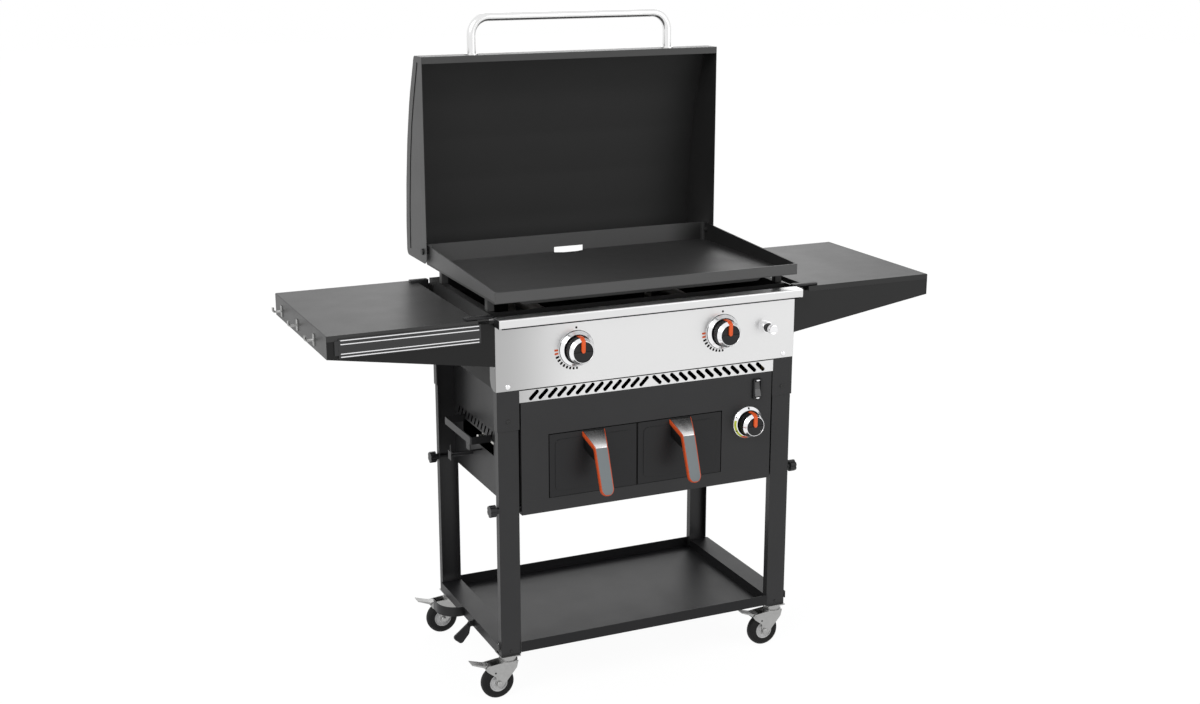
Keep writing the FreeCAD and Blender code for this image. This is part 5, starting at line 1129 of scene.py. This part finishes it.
# Tool hooks and rail
# Zinc-plated hooks on small plates along the left shelf; the rail on its front gusset is
# black with two pairs of thin bright lines along it.
hook_side = -690
rail_middle = -535
rail_front = -0.5
line_heights = (843.2, 835.2, 815.8, 809.6)
backing_stations = [
    (rail_middle, 0, 826.5, 298, 40),
    (rail_middle, -0.3, 826.5, 298, 40),
    (rail_middle, -0.6, 826.5, 297, 39),
]
line_stations = [
    (rail_middle, -0.5, 0, 290, 2.2),
    (rail_middle, -1.0, 0, 290, 2.2),
    (rail_middle, -1.4, 0, 289.4, 1.4),
]


def hook_coat(point, facing):
    """Black on the rail, 0, and zinc on the hooks at the shelf's end."""
    return 0 if point.x > hook_side else 1


rail_black = powder_coat("rail_black", (0.020, 0.020, 0.021), 0.4)
hooks = recut("tool_hooks", "tool_hooks_and_rail")
coat(hooks, [rail_black, zinc], hook_coat)
settle(hooks, "frame", node="tool_hooks")
backing = loft("rail_backing", backing_stations)
coat(backing, [rail_black])
place(backing, spot(0, rail_front, 0))
settle(backing, "frame")
line = loft("line", line_stations)
lines = [copied(line, "rail_line", spot(0, rail_front, height)) for height in line_heights]
bpy.data.objects.remove(line)
rail_lines = gather("rail_lines", lines)
coat(rail_lines, [chrome])
settle(rail_lines, "frame")

# Wheels
# A moulded tyre with fine rings pressed into its sides, on a pale hub with a raised
# boss; each runs on the axle of its fork, and the axle's heads show at the fork's sides.
rubber = Finish("tyre_rubber", grey(0.006), 0.62, Specular_IOR_Level=0.25)
dust = rubber.grain(40, 4.0)
rubber.feed("Base Color", rubber.blend(dust, grey(0.005), grey(0.010)))
rubber.feed("Roughness", 0.52 + dust * 0.2)
rubber.relief(rubber.grain(900), 0.00005, 0.0004)
hub_grey = Finish("hub_grey", grey(0.58), 0.4)
hub_grey.feed("Roughness", 0.34 + hub_grey.grain(120) * 0.16)
hub_grey.feed("Base Color", hub_grey.blend(hub_grey.grain(30), grey(0.54), grey(0.62)))
hub_grey.relief(hub_grey.grain(1200), 0.00001, 0.0003)

tyre_inner = 20.2
wheel_side = [
    (4.2, 11.8),
    (9.0, 11.8),
    (10.5, 8.4),
    (16.3, 8.0),
    (17.8, 10.3),
    (19.8, 10.8),
    (tyre_inner, 10.3),
    (20.8, 10.9),
    (24.4, 11.2),
    (24.8, 10.7),
    (25.6, 10.7),
    (26.0, 11.2),
    (29.0, 11.1),
    (29.4, 10.6),
    (30.2, 10.5),
    (30.6, 10.9),
    (34.2, 9.4),
    (36.3, 6.2),
    (37.0, 2.0),
]
wheel_steps = [(radius, -depth) for radius, depth in wheel_side] + wheel_side[::-1]
axle_side = {"left": -331, "right": 331}
axle_depth = {"front": 19.5, "rear": 391.5}
axle_height = 37
caster_trail = 26
fork_half = 18
hole_place = (-8, -15, 63)
head_steps = [(6.4, -0.2), (6.1, 0.8), (4.6, 1.8), (2.4, 2.4), (0.4, 2.5)]
# Painted shade: a thin black disc stands in for the shade inside a hole in each fork.
hole_steps = [(2.2, 0), (2.2, 0.12), (1.7, 0.16), (0.4, 0.05)]


def wheel_coat(point, facing):
    """Rubber, 0, on the tyre and grey plastic on the hub within it."""
    on_tyre = from_axis(point) > tyre_inner - 0.1
    return 0 if on_tyre or abs(point.z) < 0.01 else 1


wheel = turned("wheel", wheel_steps, 80)
coat(wheel, [rubber, hub_grey], wheel_coat)
axle_head = turned("axle_head", head_steps, 40)
fork_hole = turned("fork_hole", hole_steps, 24)
coat(fork_hole, [blackened])
for corner in corners:
    end, side = corner.split("_")
    x = axle_side[side] - caster_trail
    y = axle_depth[end]
    tyre = copied(wheel, corner + "_tyre_and_hub", spot(x, y, axle_height), FACING_COOK)
    settle(tyre, corner + "_roller", node=corner + "_wheel")
    heads = []
    for way in (-1, 1):
        where = spot(x, y + way * fork_half, axle_height)
        heads.append(copied(axle_head, "head", where, (math.radians(-90 * way), 0, 0)))
    heads = gather(corner + "_axle_heads", heads)
    coat(heads, [zinc])
    settle(heads, corner + "_swivel")
    where = spot(x + hole_place[0], y + hole_place[1], hole_place[2])
    hole = copied(fork_hole, corner + "_fork_hole", where, FACING_COOK)
    settle(hole, corner + "_swivel")
for model in (wheel, axle_head, fork_hole):
    bpy.data.objects.remove(model)

# Screws
# Round heads with a socket, bright on the panel's sides and black on the stubs and at the
# feet; two larger bright domes hold the panel's front, and a bolt and a plate each foot.
screw_steps = [(4.0, 0), (4.0, 0.7), (3.5, 1.5), (2.0, 2.0), (1.8, 1.2), (0.6, 1.1)]
dome_steps = [(6.0, 0), (6.0, 0.8), (5.2, 2.0), (3.6, 2.9), (1.6, 3.3), (0.4, 3.4)]
bolt_steps = [(3.2, 0), (3.2, 1.0), (2.4, 1.6), (0.5, 1.6)]
plate_stations = [
    (0, -7.25, 0, 0.8, 14.0),
    (0.2, -5.75, 0, 1.0, 17.0),
    (0.2, 5.75, 0, 1.0, 17.0),
    (0, 7.25, 0, 0.8, 14.0),
]
leg_middle = 329
panel_screw = (356, 7, 750)
stub_faces = {1: 90, 410: -90}
stub_screw_height = 630
foot_side = 321
foot_depths = (23, 388)
foot_height = 102
dome_height = 706
bolt_place = (329, 2.6, 109)
foot_plate = (356.5, 11.25, 119.5)


def on_side(way, point):
    """A point of the drawing, on the left where way is -1 and on the right where it is 1."""
    x, y, z = point
    return spot(x * way, y, z)


bright_screws = []
black_screws = []
for way in (-1, 1):
    bright_screws.append((on_side(way, panel_screw), (0, math.radians(90 * way), 0)))
    for y, turn in stub_faces.items():
        where = on_side(way, (leg_middle, y, stub_screw_height))
        black_screws.append((where, (math.radians(turn), 0, 0)))
    for y in foot_depths:
        black_screws.append((on_side(way, (foot_side, y, foot_height)), (0, 0, 0)))
for name, finish, screws, share in (
    ("bright", zinc, bright_screws, 1.0),
    ("black", blackened, black_screws, 1.3),
):
    screw = turned("screw", screw_steps, 32, share)
    heads = [copied(screw, "screw_head", where, turn) for where, turn in screws]
    bpy.data.objects.remove(screw)
    heads = gather(name + "_screw_heads", heads)
    coat(heads, [finish])
    settle(heads, "frame", node="frame_screws")

dome = turned("dome", dome_steps, 40)
bolt = turned("bolt", bolt_steps, 6)
plate = loft("plate", plate_stations)
domes = []
foot_bolts = []
for way, turn in ((-1, math.radians(180)), (1, 0)):
    where = on_side(way, (leg_middle, 0, dome_height))
    domes.append(copied(dome, "panel_dome", where, FACING_COOK))
    foot_bolts.append(copied(bolt, "foot_bolt", on_side(way, bolt_place), FACING_COOK))
    foot_bolts.append(copied(plate, "foot_plate", on_side(way, foot_plate), (0, 0, turn)))
for model in (dome, bolt, plate):
    bpy.data.objects.remove(model)
domes = gather("panel_screws", domes)
coat(domes, [chrome])
settle(domes, "frame")
foot_bolts = gather("foot_bolts", foot_bolts)
coat(foot_bolts, [blackened])
settle(foot_bolts, "frame")
